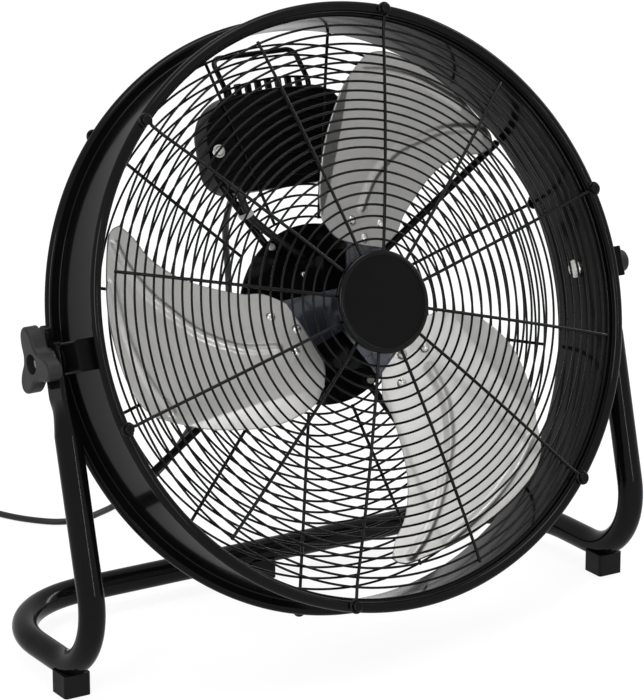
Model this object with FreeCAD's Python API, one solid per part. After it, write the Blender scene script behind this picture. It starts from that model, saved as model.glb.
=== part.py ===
"""Floor fan: a steel drum with a three-blade rotor, tilting between the legs of a bent tube stand.

Millimetres. +Z is up and the fan blows towards -Y. The drum's pieces are drawn upright about the tilt axis,
then tilted back and lifted to the pivot. The stand and the cord are drawn where they stand on the floor.
"""
import FreeCAD, Part
import math
import os

V = FreeCAD.Vector
X_AXIS = V(1, 0, 0)
Y_AXIS = V(0, 1, 0)
Z_AXIS = V(0, 0, 1)

# Place and tilt of the drum
PIVOT_HEIGHT = 305.0
PIVOT_Y = -11.74
REST_TILT = 19.6

# Clearances
FIT = 0.03
SEAT = 0.05
HINGE_GAP = 0.1
HOLE_PLAY = 0.1

# Drum shell
BEAD_RADIUS = 270.0
BEAD_ROLL = 5.0
BEAD_SPACING = 90.0
WALL_RADIUS = 263.0
SHEET = 1.2

# Grilles
SPOKE_COUNT = 12
SPOKE_PHASE = 15.0
SPOKE_R = 1.5
RING_R = 1.1
EYE_RADIUS = 5.2
EYE_NECK = 4.0
EYE_SWEEP = 280.0
DOME_RISE = 19.0
DOME_END = 246.0
DOME_FLATTEN = 40.0
FRONT_FIRST_RING = 57.0
FRONT_INNER_PITCH = 10.4
FRONT_INNER_COUNT = 9
FRONT_OUTER_PITCH = 8.65
FRONT_OUTER_COUNT = 13
FRONT_SPOKE_START = 24.0
REAR_FIRST_RING = 91.0
REAR_PITCH = 10.0
REAR_RING_COUNT = 17
SPOKE_OVERRUN = 1.5
GRILLE_SCREW_R = 2.0
GRILLE_HEAD_R = 4.6
GRILLE_HEAD_H = 3.0

# Badge and grille centre plate
BADGE_R = 46.5
BADGE_DEPTH = 5.0
BADGE_BEVEL = 3.0
BADGE_RECESS = 0.8
BADGE_RIM = 4.0
BADGE_BOSS_R = 8.0
CENTRE_PLATE_R = 40.0
CENTRE_PLATE_T = 1.5

# Motor plate and struts
STRUT_R = 3.5
STRUT_ANGLES = (60.0, 150.0, 240.0, 330.0)
STRUT_START = 66.0
SHORT_STRUT_END = 150.0
PLATE_R = 83.5
PLATE_T = 2.0
STRUT_SCREW_CIRCLE = 78.0
STRUT_SCREW_R = 2.0
STRUT_HEAD_R = 4.0
STRUT_HEAD_H = 2.6

# Motor
MOTOR_R = 55.0
MOTOR_WALL = 5.0
MOTOR_LENGTH = 42.0
MOTOR_END_WALL = 4.0
BELL_T = 4.0
SHAFT_R = 5.0
SHAFT_FRONT = 52.0
BEARING_R = 11.0
BEARING_W = 7.0
BEARING_BOSS = 4.0
STATOR_BORE = 30.0
STACK = 20.0
STACK_SET = 8.33
AIR_GAP = 0.4
WINDING_T = 6.5
WINDING_BORE = 33.0
WINDING_R = 48.0
MOTOR_SCREW_CIRCLE = 38.0
MOTOR_SCREW_R = 2.5
BELL_SCREW_R = 1.5
MOTOR_SCREW_COUNT = 4

# Rotor: blade sheet, blade outline, hub spider
BLADE_COUNT = 3
BLADE_ANGLE = 20.0
BLADE_T = 1.2
BLADE_ROOT_R = 66.0
BLADE_TIP_R = 240.0
BLADE_Y = -28.0
BLADE_ROOT_SLOPE = 0.34
BLADE_TIP_SLOPE = 0.20
BLADE_ROOT_H = 0.0
BLADE_TIP_H = 245.0
BLADE_REACH_BACK = 85.0
BLADE_REACH_FRONT = 160.0
BLADE_CAMBER = 5.0
SPIDER_T = 2.0
SPIDER_BOSS_R = 22.0
SPIDER_BOSS_FRONT = -40.0
SPIDER_BOSS_REAR = -14.0
SPIDER_ARM_HALF = 27.0
SPIDER_ARM_LAP = 32.0
SPIDER_ARM_T0 = 4.0
RIVET_R = 2.0
RIVET_HEAD_R = 4.6
RIVET_HEAD_H = 2.4
RIVET_OFFSETS = ((-17.0, 10.0), (1.0, -2.0), (19.0, 16.0))
NUT_FLATS = 17.0
NUT_H = 6.0

# Control box
BOX_HALF = 77.0
BOX_LOW = 121.0
BOX_HIGH = 211.0
BOX_TOP_ROUND = 40.0
BOX_LOW_ROUND = 24.0
BOX_DEPTH = 32.0
BOX_WALL = 2.5
BOX_BACK_ROUND = 14.0
COVER_T = 2.5
BOX_SCREW_X = 70.0
BOX_SCREW_GAP = 8
BOX_SCREW_R = 2.5
BOX_SCREW_LENGTH = 20.0
BOX_BOSS_R = 5.0
WASHER_R = 6.0
WASHER_T = 1.5
SLAT_COUNT = 8
SLAT_PITCH = 10.8
SLAT_W = 5.4
SLAT_H = 10.5
SLAT_DEPTH = 4.0
SWITCH_X = 26.0
SWITCH_Z = 166.0
SWITCH_SIZE = 28.0
SWITCH_DEPTH = 20.0
SWITCH_SHAFT_R = 3.0
SPEED_KNOB_R = 17.0
SPEED_KNOB_H = 16.0
CAPACITOR_W = 42.0
CAPACITOR_H = 24.0
CAPACITOR_D = 18.0
CAPACITOR_X = -32.0

# Motor cable
CABLE_R = 3.7
CABLE_Y_GAP = 0.1
CABLE_TIE_W = 4.8
CABLE_TIE_T = 0.9
CABLE_TIE_RADIUS = 116.0

# Carrying handle
HANDLE_R = 2.5
HANDLE_HALF = 44.0
HANDLE_SET = 5.37
HANDLE_LEAN = 16.0
HANDLE_KNEE = 217.0
HANDLE_TOP = 248.0
HANDLE_NUT_R = 5.0
HANDLE_NUT_H = 4.0

# Pivots
BOLT_R = 4.0
BOLT_HEAD_R = 9.0
BOLT_HEAD_H = 5.0
BOLT_END = 311.0
BRACKET_HALF_Z = 14.0
BRACKET_HALF_Y = 38.0
FRICTION_R = 14.0
FRICTION_T = 1.5
CLAMP_WASHER_R = 12.0
CLAMP_WASHER_T = 1.6
KNOB_FACE = 315.5
KNOB_T = 12.5
KNOB_LOBES = 3
KNOB_LOBE_PHASE = -109.6
KNOB_REACH = 33.5
KNOB_WAIST = 15.5
KNOB_LOBE_POWER = 1.5
KNOB_EDGE_ROUND = 2.5
ROUND_KNOB_R = 10.5
KNOB_BOSS_R = 13.0
KNOB_RECESS_R = 9.0
KNOB_RECESS = 8.0
KNOB_NUT_FLATS = 13.0
KNOB_NUT_H = 6.5

# Stand
TUBE_R = 12.0
TUBE_WALL = 1.5
LEG_X = 290.0
LEG_LEAN = 14.6
LEG_BEND = 64.0
RAIL_HEIGHT = 24.5
CORNER_BEND = 100.0
CROSSBAR_Y = 151.9
FLAT_T = 6.0
FLAT_SHIFT = 4.0
FLAT_W = 30.0
FLAT_TOP = 31.0
FLAT_STEP = 17.0
FLAT_LOW = 34.0
FLAT_BLEND = 66.0
FOOT_SIZE = 26.0
FRONT_FOOT_HEIGHT = 21.0
REAR_FOOT_HEIGHT = 20.0
FRONT_FOOT_Y = -12.5
FOOT_SCREW_R = 2.0
FOOT_HEAD_R = 4.0
FOOT_HEAD_H = 3.0
FOOT_RECESS = 8.0
FOOT_SCREW_REACH = 24.0

# Mains cord: strain relief, hanging drop, floor run, coil, tie and plug
CORD_R = 3.25
CORD_LEAD = 42.0
FLOOR_GAP = 0.05
RELIEF_X = 10.0
RELIEF_Z = 140.0
RELIEF_LENGTH = 30.0
RELIEF_BASE_R = 7.0
RELIEF_TIP_R = 4.6
RELIEF_FLANGE_R = 10.0
RELIEF_FLANGE_T = 2.0
COIL_TURNS = 2
COIL_RADIUS = 43.5
COIL_PITCH = 7.5
COIL_RISE = 7.2
COIL_LIFT = 1.4
COIL_X = -190.0
COIL_Y = 530.0
TIE_W = 9.0
TIE_T = 1.0
TIE_GAP = 0.3
PLUG_LENGTH = 38.0
PLUG_WIDTH = 36.0
PLUG_TAIL = 24.0
PLUG_TAIL_R = 6.0
PIN_R = 2.4
PIN_LENGTH = 19.0
PIN_SPACING = 19.0

# Values worked out from the sizes above
WALL_INNER = WALL_RADIUS - SHEET
BEAD_Y = BEAD_SPACING / 2
BEAD_INNER = BEAD_ROLL - SHEET
EYE_Y = BEAD_Y + BEAD_ROLL + SPOKE_R + SEAT
RING_OFFSET = SPOKE_R + RING_R + SEAT
REAR_RING_Y = EYE_Y - RING_OFFSET
STRUT_Y = REAR_RING_Y - RING_R - SEAT - STRUT_R
PLATE_BACK = STRUT_Y - STRUT_R - SEAT
PLATE_FRONT = PLATE_BACK - PLATE_T
MOTOR_BACK = PLATE_FRONT - FIT
MOTOR_FRONT = MOTOR_BACK - MOTOR_LENGTH
STACK_FRONT = MOTOR_FRONT + STACK_SET
MOTOR_BORE = MOTOR_R - MOTOR_WALL
COVER_FRONT = EYE_Y + SPOKE_R + SEAT
COVER_BACK = COVER_FRONT + COVER_T
BOX_FRONT = COVER_BACK + FIT
HANDLE_Y = BOX_FRONT + HANDLE_SET
BOX_BACK = BOX_FRONT + BOX_DEPTH
BRACKET_OUT = LEG_X + FLAT_SHIFT - FLAT_T / 2 - 2 * HINGE_GAP - FRICTION_T
CLAMP_IN = LEG_X + FLAT_SHIFT + FLAT_T / 2 + HINGE_GAP
KNOB_IN = CLAMP_IN + CLAMP_WASHER_T + SEAT
DOME_RADIUS = (DOME_END ** 2 + DOME_RISE ** 2) / (2 * DOME_RISE)
DOME_SLOPE = math.asin(DOME_END / DOME_RADIUS)
DOME_APEX = -EYE_Y - DOME_FLATTEN * (1 - math.cos(DOME_SLOPE)) - DOME_RISE
DOME_CENTRE = DOME_APEX + DOME_RADIUS
PIVOT = V(0, PIVOT_Y, PIVOT_HEIGHT)


def polar(radius, angle, y=0.0):
    """Point at a radius from the fan's axis; the angle is clockwise from the top, seen from the front."""
    turn = math.radians(angle)
    return V(radius * math.sin(turn), y, radius * math.cos(turn))


def rod(start, end, radius):
    """Round bar from one point to another."""
    line = end - start
    return Part.makeCylinder(radius, line.Length, start, line)


def along_y(x, z, y_from, y_to, radius):
    """Round bar parallel to the fan's axis."""
    return rod(V(x, y_from, z), V(x, y_to, z), radius)


def along_x(x_from, x_to, radius):
    """Round bar on the tilt axis."""
    return rod(V(x_from, 0, 0), V(x_to, 0, 0), radius)


def bent_path(points, radii):
    """Wire of straight runs through the points, with a tangent arc of the given radius at each inner point."""
    edges = []
    last = points[0]
    for before, corner, after, radius in zip(points, points[1:], points[2:], radii):
        back = (before - corner).normalize()
        ahead = (after - corner).normalize()
        half = back.getAngle(ahead) / 2
        reach = radius / math.tan(half)
        middle = (back + ahead).normalize()
        centre = corner + middle * (radius / math.sin(half))
        start = corner + back * reach
        end = corner + ahead * reach
        if (start - last).Length > 1e-6:
            edges.append(Part.makeLine(last, start))
        edges.append(Part.Arc(start, centre - middle * radius, end).toShape())
        last = end
    edges.append(Part.makeLine(last, points[-1]))
    return Part.Wire(edges)


def sweep_round(path, radius):
    """Round bar of a radius along a wire."""
    first = path.OrderedEdges[0]
    start = first.valueAt(first.FirstParameter)
    heading = first.tangentAt(first.FirstParameter)
    section = Part.Wire(Part.makeCircle(radius, start, heading))
    return path.makePipeShell([section], True, False)


def revolved(profile):
    """Solid of revolution about the fan's axis from (radius, y) points."""
    points = [V(radius, y, 0) for radius, y in profile]
    face = Part.Face(Part.makePolygon(points + points[:1]))
    return face.revolve(V(), Y_AXIS, 360)


def washer(outer, inner, y_from, y_to):
    """Flat ring about the fan's axis."""
    return revolved(((inner, y_from), (outer, y_from), (outer, y_to), (inner, y_to)))


def hexagon(flats, bore, start, direction, height):
    """Hexagonal nut with a round bore, from a point along a direction."""
    corner = flats / math.sqrt(3)
    angles = [math.radians(60 * step) for step in range(7)]
    outline = Part.makePolygon([V(corner * math.cos(a), corner * math.sin(a), 0) for a in angles])
    nut = Part.Face(outline).extrude(V(0, 0, height)).cut(Part.makeCylinder(bore, height))
    nut.Placement = FreeCAD.Placement(start, FreeCAD.Rotation(Z_AXIS, direction))
    return nut


def screw(place, heading, length, radius, head_radius, head_height):
    """Pan-head screw: the place is under its head and the heading runs along the shank."""
    shank = Part.makeCylinder(radius, length, place, heading)
    head = Part.makeCylinder(head_radius, head_height, place, heading * -1)
    top = place - heading * head_height
    rim = [edge for edge in head.Edges if edge.Closed and (edge.CenterOfMass - top).Length < 1e-6]
    return head.makeFillet(0.45 * head_height, rim).fuse(shank).removeSplitter()


def turned(shape, angle):
    """Copy turned about the fan's axis, clockwise seen from the front."""
    copy = shape.copy()
    copy.rotate(V(), Y_AXIS, angle)
    return copy


def mirrored(shape):
    """Copy on the other side of the fan."""
    return shape.mirror(V(), X_AXIS)


def cut_all(shape, tools):
    """Shape without all the tools."""
    return shape.cut(Part.makeCompound(tools)) if tools else shape


def tilted(shape):
    """Copy of a drum piece at its place on the stand."""
    copy = shape.copy()
    copy.rotate(V(), X_AXIS, -REST_TILT)
    copy.translate(PIVOT)
    return copy


def standing(shape):
    """Copy of a stand or cord piece drawn about the pivot, at its place."""
    copy = shape.copy()
    copy.translate(PIVOT)
    return copy


def eye_angles():
    """Angles of the spokes that end in an eye."""
    step = 360.0 / SPOKE_COUNT
    return [SPOKE_PHASE + step * index for index in range(0, SPOKE_COUNT, 2)]


def plain_angles():
    """Angles of the spokes that end at the outermost ring."""
    step = 360.0 / SPOKE_COUNT
    return [SPOKE_PHASE + step * index for index in range(1, SPOKE_COUNT, 2)]


def drum_shell():
    """Rolled sheet drum: wall, two flanges and an open curl at each rim."""
    inner, outer = WALL_INNER, WALL_RADIUS
    low, high = BEAD_Y - BEAD_ROLL, BEAD_Y - BEAD_INNER
    diagonal = math.sqrt(0.5)

    def rim(side):
        """Edges of one rim's curl, from the flange's far face round to its near face."""
        y_centre = side * BEAD_Y
        inside = Part.Arc(V(BEAD_RADIUS, side * high, 0),
                          V(BEAD_RADIUS + BEAD_INNER * diagonal, y_centre + side * BEAD_INNER * diagonal, 0),
                          V(BEAD_RADIUS - BEAD_INNER, y_centre, 0))
        outside = Part.Arc(V(BEAD_RADIUS - BEAD_ROLL, y_centre, 0),
                           V(BEAD_RADIUS + BEAD_ROLL * diagonal, y_centre + side * BEAD_ROLL * diagonal, 0),
                           V(BEAD_RADIUS, side * low, 0))
        return [Part.makeLine(V(inner, side * high, 0), V(BEAD_RADIUS, side * high, 0)),
                inside.toShape(),
                Part.makeLine(V(BEAD_RADIUS - BEAD_INNER, y_centre, 0),
                              V(BEAD_RADIUS - BEAD_ROLL, y_centre, 0)),
                outside.toShape(),
                Part.makeLine(V(BEAD_RADIUS, side * low, 0), V(outer, side * low, 0))]

    edges = rim(1) + rim(-1)
    edges.append(Part.makeLine(V(inner, high, 0), V(inner, -high, 0)))
    edges.append(Part.makeLine(V(outer, low, 0), V(outer, -low, 0)))
    profile = Part.Wire(Part.__sortEdges__(edges))
    shell = Part.Face(profile).revolve(V(), Y_AXIS, 360)
    holes = [rod(V(side * (WALL_INNER - 5), 0, 0), V(side * (WALL_RADIUS + 5), 0, 0), BOLT_R + HOLE_PLAY)
             for side in (-1, 1)]
    for angle in eye_angles():
        for side in (-1, 1):
            outside = polar(BEAD_RADIUS, angle, side * (BEAD_Y + BEAD_ROLL + 1))
            holes.append(rod(outside, polar(BEAD_RADIUS, angle, side * BEAD_Y), GRILLE_SCREW_R + HOLE_PLAY))
    return cut_all(shell, holes)


def eye_edges(plane_y):
    """Edges of the eye at a spoke's end, on the spoke at the top of the fan: neck arc, then the loop."""
    rise = math.sqrt((EYE_NECK + EYE_RADIUS) ** 2 - EYE_NECK ** 2)
    neck_start = BEAD_RADIUS - rise
    turn = math.acos(EYE_NECK / (EYE_NECK + EYE_RADIUS))

    def neck(angle):
        """Point on the neck arc."""
        return V(EYE_NECK - EYE_NECK * math.cos(angle), plane_y, neck_start + EYE_NECK * math.sin(angle))

    def loop(angle):
        """Point on the loop, from the neck round the screw."""
        around = math.pi / 2 + turn - angle
        return V(EYE_RADIUS * math.sin(around), plane_y, BEAD_RADIUS + EYE_RADIUS * math.cos(around))

    end = math.radians(EYE_SWEEP)
    return [Part.Arc(neck(0), neck(turn / 2), neck(turn)).toShape(),
            Part.Arc(loop(0), loop(end / 4), loop(end / 2)).toShape(),
            Part.Arc(loop(end / 2), loop(0.75 * end), loop(end)).toShape()], neck_start


def dome_arc(start, end):
    """Arc of a front spoke's centre line over the dome, between two radii, at the top of the fan."""
    def place(radius):
        """Point of the dome at a radius."""
        return V(0, DOME_CENTRE - math.sqrt(DOME_RADIUS ** 2 - radius ** 2), radius)
    return Part.Arc(place(start), place((start + end) / 2), place(end)).toShape()


def front_spoke(with_eye):
    """Front grille spoke at the top of the fan, domed, with an eye or a plain end."""
    if not with_eye:
        end = front_ring_radii()[-1] + RING_R + SPOKE_OVERRUN
        return sweep_round(Part.Wire([dome_arc(FRONT_SPOKE_START, min(end, DOME_END))]
                                     + plain_tail(end)), SPOKE_R)
    loop, neck_start = eye_edges(-EYE_Y)
    flat = flatten_arc()
    tail = Part.makeLine(flat.valueAt(flat.LastParameter), V(0, -EYE_Y, neck_start))
    return sweep_round(Part.Wire([dome_arc(FRONT_SPOKE_START, DOME_END), flat, tail] + loop), SPOKE_R)


def flatten_arc():
    """Arc that brings a front spoke from the dome's slope to the plane of the eyes."""
    def place(angle):
        """Point where the spoke still slopes by an angle."""
        along = DOME_END + DOME_FLATTEN * (math.sin(DOME_SLOPE) - math.sin(angle))
        return V(0, -EYE_Y - DOME_FLATTEN * (1 - math.cos(angle)), along)
    return Part.Arc(place(DOME_SLOPE), place(DOME_SLOPE / 2), place(0)).toShape()


def plain_tail(end):
    """Straight end of a plain front spoke, past the dome's last radius."""
    if end <= DOME_END:
        return []
    reach = end - DOME_END
    start = V(0, -EYE_Y - DOME_FLATTEN * (1 - math.cos(DOME_SLOPE)), DOME_END)
    return [Part.makeLine(start, start + V(0, reach * math.tan(DOME_SLOPE), reach))]


def rear_spoke(with_eye):
    """Rear grille spoke at the top of the fan: flat, with an eye or a plain end."""
    start = V(0, EYE_Y, REAR_FIRST_RING - RING_R)
    if not with_eye:
        return rod(start, V(0, EYE_Y, rear_ring_radii()[-1] + RING_R + SPOKE_OVERRUN), SPOKE_R)
    loop, neck_start = eye_edges(EYE_Y)
    return sweep_round(Part.Wire([Part.makeLine(start, V(0, EYE_Y, neck_start))] + loop), SPOKE_R)


def front_ring_radii():
    """Radii of the front rings: a wider pitch near the hub, a closer one towards the rim."""
    radii = [FRONT_FIRST_RING + FRONT_INNER_PITCH * step for step in range(FRONT_INNER_COUNT)]
    return radii + [radii[-1] + FRONT_OUTER_PITCH * (step + 1) for step in range(FRONT_OUTER_COUNT)]


def rear_ring_radii():
    """Radii of the rear rings."""
    return [REAR_FIRST_RING + REAR_PITCH * step for step in range(REAR_RING_COUNT)]


def front_rings():
    """Front rings, each lying behind the spokes."""
    rings = []
    for radius in front_ring_radii():
        if radius <= DOME_END:
            y = DOME_CENTRE - math.sqrt((DOME_RADIUS - RING_OFFSET) ** 2 - radius ** 2)
        else:
            slope = math.tan(DOME_SLOPE)
            edge = -EYE_Y - DOME_FLATTEN * (1 - math.cos(DOME_SLOPE))
            y = edge + (radius - DOME_END) * slope + RING_OFFSET / math.cos(DOME_SLOPE)
        rings.append(Part.makeTorus(radius, RING_R, V(0, y, 0), Y_AXIS))
    return Part.makeCompound(rings)


def rear_rings():
    """Rear rings, each lying in front of the spokes."""
    return Part.makeCompound([Part.makeTorus(radius, RING_R, V(0, REAR_RING_Y, 0), Y_AXIS)
                              for radius in rear_ring_radii()])


def spokes(maker):
    """All the spokes of one grille."""
    with_eye = maker(True)
    plain = maker(False)
    return Part.makeCompound([turned(with_eye, angle) for angle in eye_angles()]
                             + [turned(plain, angle) for angle in plain_angles()])


def grille_screws():
    """Screws through the eyes of both grilles into the beads."""
    under_head = EYE_Y + SPOKE_R + FIT
    return Part.makeCompound([screw(polar(BEAD_RADIUS, angle, side * under_head), Y_AXIS * -side,
                                    under_head - BEAD_Y, GRILLE_SCREW_R, GRILLE_HEAD_R, GRILLE_HEAD_H)
                              for angle in eye_angles() for side in (-1, 1)])


BADGE_BACK = DOME_APEX - SPOKE_R - SEAT
CENTRE_FRONT = DOME_CENTRE - math.sqrt((DOME_RADIUS - SPOKE_R) ** 2 - CENTRE_PLATE_R ** 2) + SEAT
BADGE_SCREW_R = 2.0


def badge():
    """Bare round badge with a bevelled rim round a shallow recess, and a boss for its screw."""
    face = BADGE_BACK - BADGE_DEPTH
    cap = revolved(((0, BADGE_BACK), (BADGE_R, BADGE_BACK), (BADGE_R, face + BADGE_BEVEL),
                    (BADGE_R - BADGE_BEVEL, face), (BADGE_R - BADGE_RIM - 1, face),
                    (BADGE_R - BADGE_RIM - 2, face + BADGE_RECESS), (0, face + BADGE_RECESS)))
    boss = along_y(0, 0, BADGE_BACK, CENTRE_FRONT - FIT, BADGE_BOSS_R)
    hole = along_y(0, 0, BADGE_BACK, CENTRE_FRONT, BADGE_SCREW_R + FIT)
    return cap.fuse(boss).cut(hole).removeSplitter()


def centre_plate():
    """Disc behind the spokes' inner ends."""
    return washer(CENTRE_PLATE_R, BADGE_SCREW_R + HOLE_PLAY, CENTRE_FRONT, CENTRE_FRONT + CENTRE_PLATE_T)


def badge_screw():
    """Screw that holds the badge to the centre plate, from behind."""
    back = CENTRE_FRONT + CENTRE_PLATE_T + FIT
    return screw(V(0, back, 0), Y_AXIS * -1, back - BADGE_BACK - FIT, BADGE_SCREW_R, 2 * BADGE_SCREW_R, 2.2)


def strut_place(angle):
    """Place of the screw that holds a strut to the motor plate."""
    return polar(STRUT_SCREW_CIRCLE, angle)


def motor_screw_angles():
    """Angles of the screws that hold the motor."""
    return [45.0 + 360.0 / MOTOR_SCREW_COUNT * index for index in range(MOTOR_SCREW_COUNT)]


def motor_plate():
    """Pressed disc that carries the motor, with a raised bead near its edge."""
    plate = Part.makeCylinder(PLATE_R, PLATE_T, V(0, PLATE_FRONT, 0), Y_AXIS)
    places = [strut_place(angle) for angle in STRUT_ANGLES]
    holes = [along_y(p.x, p.z, PLATE_FRONT - 1, PLATE_BACK + 1, STRUT_SCREW_R + HOLE_PLAY) for p in places]
    places = [polar(MOTOR_SCREW_CIRCLE, angle) for angle in motor_screw_angles()]
    holes += [along_y(p.x, p.z, PLATE_FRONT - 1, PLATE_BACK + 1, MOTOR_SCREW_R + HOLE_PLAY) for p in places]
    return cut_all(plate, holes)


def motor_struts():
    """Bars from the motor plate: two out to the drum wall, two short ones on the rear rings."""
    bars = []
    ends = (WALL_INNER - SEAT, SHORT_STRUT_END)
    for index, angle in enumerate(STRUT_ANGLES):
        bar = rod(polar(STRUT_START, angle, STRUT_Y), polar(ends[index % 2], angle, STRUT_Y), STRUT_R)
        place = strut_place(angle)
        hole = along_y(place.x, place.z, STRUT_Y - 2 * STRUT_R, STRUT_Y + 0.6 * STRUT_R, STRUT_SCREW_R + FIT)
        end = Part.makeCylinder(WALL_INNER - SEAT, 4 * STRUT_R, V(0, STRUT_Y - 2 * STRUT_R, 0), Y_AXIS)
        bars.append(bar.common(end).cut(hole))
    return Part.makeCompound(bars)


def strut_screws():
    """Screws through the motor plate into the struts."""
    under_head = PLATE_FRONT - FIT
    length = STRUT_Y + 0.5 * STRUT_R - under_head
    return Part.makeCompound([screw(strut_place(angle) + V(0, under_head, 0), Y_AXIS, length, STRUT_SCREW_R,
                                    STRUT_HEAD_R, STRUT_HEAD_H) for angle in STRUT_ANGLES])


def motor_housing():
    """Cast cup of the motor with its rear bearing seat and a cable entry."""
    wall = MOTOR_BACK - MOTOR_END_WALL
    seat = BEARING_R + FIT
    cup = revolved(((0, MOTOR_BACK), (MOTOR_R, MOTOR_BACK), (MOTOR_R, MOTOR_FRONT), (MOTOR_BORE, MOTOR_FRONT),
                    (MOTOR_BORE, wall), (seat + BEARING_BOSS, wall), (seat + BEARING_BOSS, wall - BEARING_W),
                    (seat, wall - BEARING_W), (seat, wall), (0, wall)))
    places = [polar(MOTOR_SCREW_CIRCLE, angle) for angle in motor_screw_angles()]
    holes = [along_y(p.x, p.z, wall - 1, MOTOR_BACK + 1, MOTOR_SCREW_R + FIT) for p in places]
    places = [polar(MOTOR_R - MOTOR_WALL / 2, angle) for angle in motor_screw_angles()]
    holes += [along_y(p.x, p.z, MOTOR_FRONT - 1, MOTOR_FRONT + 10, BELL_SCREW_R + FIT) for p in places]
    leave, entry = cable_points()[-2:]
    holes.append(rod(entry, leave, CABLE_R + HOLE_PLAY))
    return cut_all(cup, holes)


def motor_bell():
    """Front end bell with the front bearing seat."""
    front = MOTOR_FRONT - FIT - BELL_T
    seat = BEARING_R + FIT
    lip = 1.0
    bell = revolved(((SHAFT_R + 1.5, front), (MOTOR_R, front), (MOTOR_R, front + BELL_T),
                     (seat + BEARING_BOSS, front + BELL_T), (seat + BEARING_BOSS, front + lip + BEARING_W),
                     (seat, front + lip + BEARING_W), (seat, front + lip), (SHAFT_R + 1.5, front + lip)))
    places = [polar(MOTOR_R - MOTOR_WALL / 2, angle) for angle in motor_screw_angles()]
    holes = [along_y(p.x, p.z, front - 1, front + BELL_T + 1, BELL_SCREW_R + HOLE_PLAY) for p in places]
    return cut_all(bell, holes)


def bearings():
    """Front and rear bearings."""
    front = MOTOR_FRONT - FIT - BELL_T + 1.0 + FIT
    rear = MOTOR_BACK - MOTOR_END_WALL - FIT
    bore = SHAFT_R + FIT
    return Part.makeCompound([washer(BEARING_R, bore, front, front + BEARING_W),
                              washer(BEARING_R, bore, rear - BEARING_W, rear)])


def motor_screws():
    """Screws through the motor plate into the motor's rear wall."""
    under_head = PLATE_BACK + FIT
    length = under_head - MOTOR_BACK + 0.8 * MOTOR_END_WALL
    return Part.makeCompound([screw(polar(MOTOR_SCREW_CIRCLE, angle, under_head), Y_AXIS * -1, length,
                                    MOTOR_SCREW_R, 2 * MOTOR_SCREW_R, MOTOR_SCREW_R)
                              for angle in motor_screw_angles()])


def bell_screws():
    """Screws through the front bell into the motor cup."""
    under_head = MOTOR_FRONT - FIT - BELL_T - FIT
    return Part.makeCompound([screw(polar(MOTOR_R - MOTOR_WALL / 2, angle, under_head), Y_AXIS, BELL_T + 8,
                                    BELL_SCREW_R, 1.7 * BELL_SCREW_R, 2.0) for angle in motor_screw_angles()])


def stator():
    """Laminated stator ring."""
    return washer(MOTOR_BORE - SEAT, STATOR_BORE, STACK_FRONT, STACK_FRONT + STACK)


def windings():
    """End windings on both faces of the stator."""
    front = STACK_FRONT - FIT
    back = STACK_FRONT + STACK + FIT
    return Part.makeCompound([washer(WINDING_R, WINDING_BORE, front - WINDING_T, front),
                              washer(WINDING_R, WINDING_BORE, back, back + WINDING_T)])


def rotor_core():
    """Rotor stack on the shaft."""
    return washer(STATOR_BORE - AIR_GAP, SHAFT_R + FIT / 2, STACK_FRONT, STACK_FRONT + STACK)


def motor_shaft():
    """Shaft from the rear bearing to the hub nut."""
    return along_y(0, 0, -SHAFT_FRONT, MOTOR_BACK - MOTOR_END_WALL - SEAT, SHAFT_R)


def sheet_y(across, out):
    """Mid-surface of the blade sheet: y at a distance across the blade and out from the axis."""
    span = BLADE_REACH_FRONT + BLADE_REACH_BACK
    middle = (BLADE_REACH_FRONT - BLADE_REACH_BACK) / 2
    share = (out - BLADE_ROOT_H) / (BLADE_TIP_H - BLADE_ROOT_H)
    slope = BLADE_ROOT_SLOPE + (BLADE_TIP_SLOPE - BLADE_ROOT_SLOPE) * share
    camber = BLADE_CAMBER * (1 - ((across - middle) / (span / 2)) ** 2)
    return BLADE_Y + slope * across + camber


def sheet_solid(y_from, y_to):
    """Twisted, cambered sheet between two offsets from the blade's mid-surface, wider than the blade."""
    sections = []
    middle = (BLADE_REACH_FRONT - BLADE_REACH_BACK) / 2
    for out in (BLADE_ROOT_H, BLADE_TIP_H):
        def place(across, offset):
            """Point of the section at this distance out."""
            return V(across, sheet_y(across, out) + offset, out)
        front = [place(at, y_from) for at in (-BLADE_REACH_BACK, middle, BLADE_REACH_FRONT)]
        back = [place(at, y_to) for at in (BLADE_REACH_FRONT, middle, -BLADE_REACH_BACK)]
        sections.append(Part.Wire([Part.Arc(*front).toShape(), Part.makeLine(front[2], back[0]),
                                   Part.Arc(*back).toShape(), Part.makeLine(back[2], front[0])]))
    return Part.makeLoft(sections, True, True)


def prism(wire):
    """Tall prism along the fan's axis on an outline drawn at y = 0."""
    face = Part.Face(wire)
    face.translate(V(0, -100, 0))
    return face.extrude(V(0, 200, 0))


def blade_point(step, angle):
    """Point of the blade's outline: step 0 to 174 from root to tip, and the angle from its middle line."""
    radius = BLADE_ROOT_R + step * (BLADE_TIP_R - BLADE_ROOT_R) / 174
    turn = math.radians(angle - BLADE_ANGLE)
    return V(radius * math.sin(turn), 0, radius * math.cos(turn))


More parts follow.
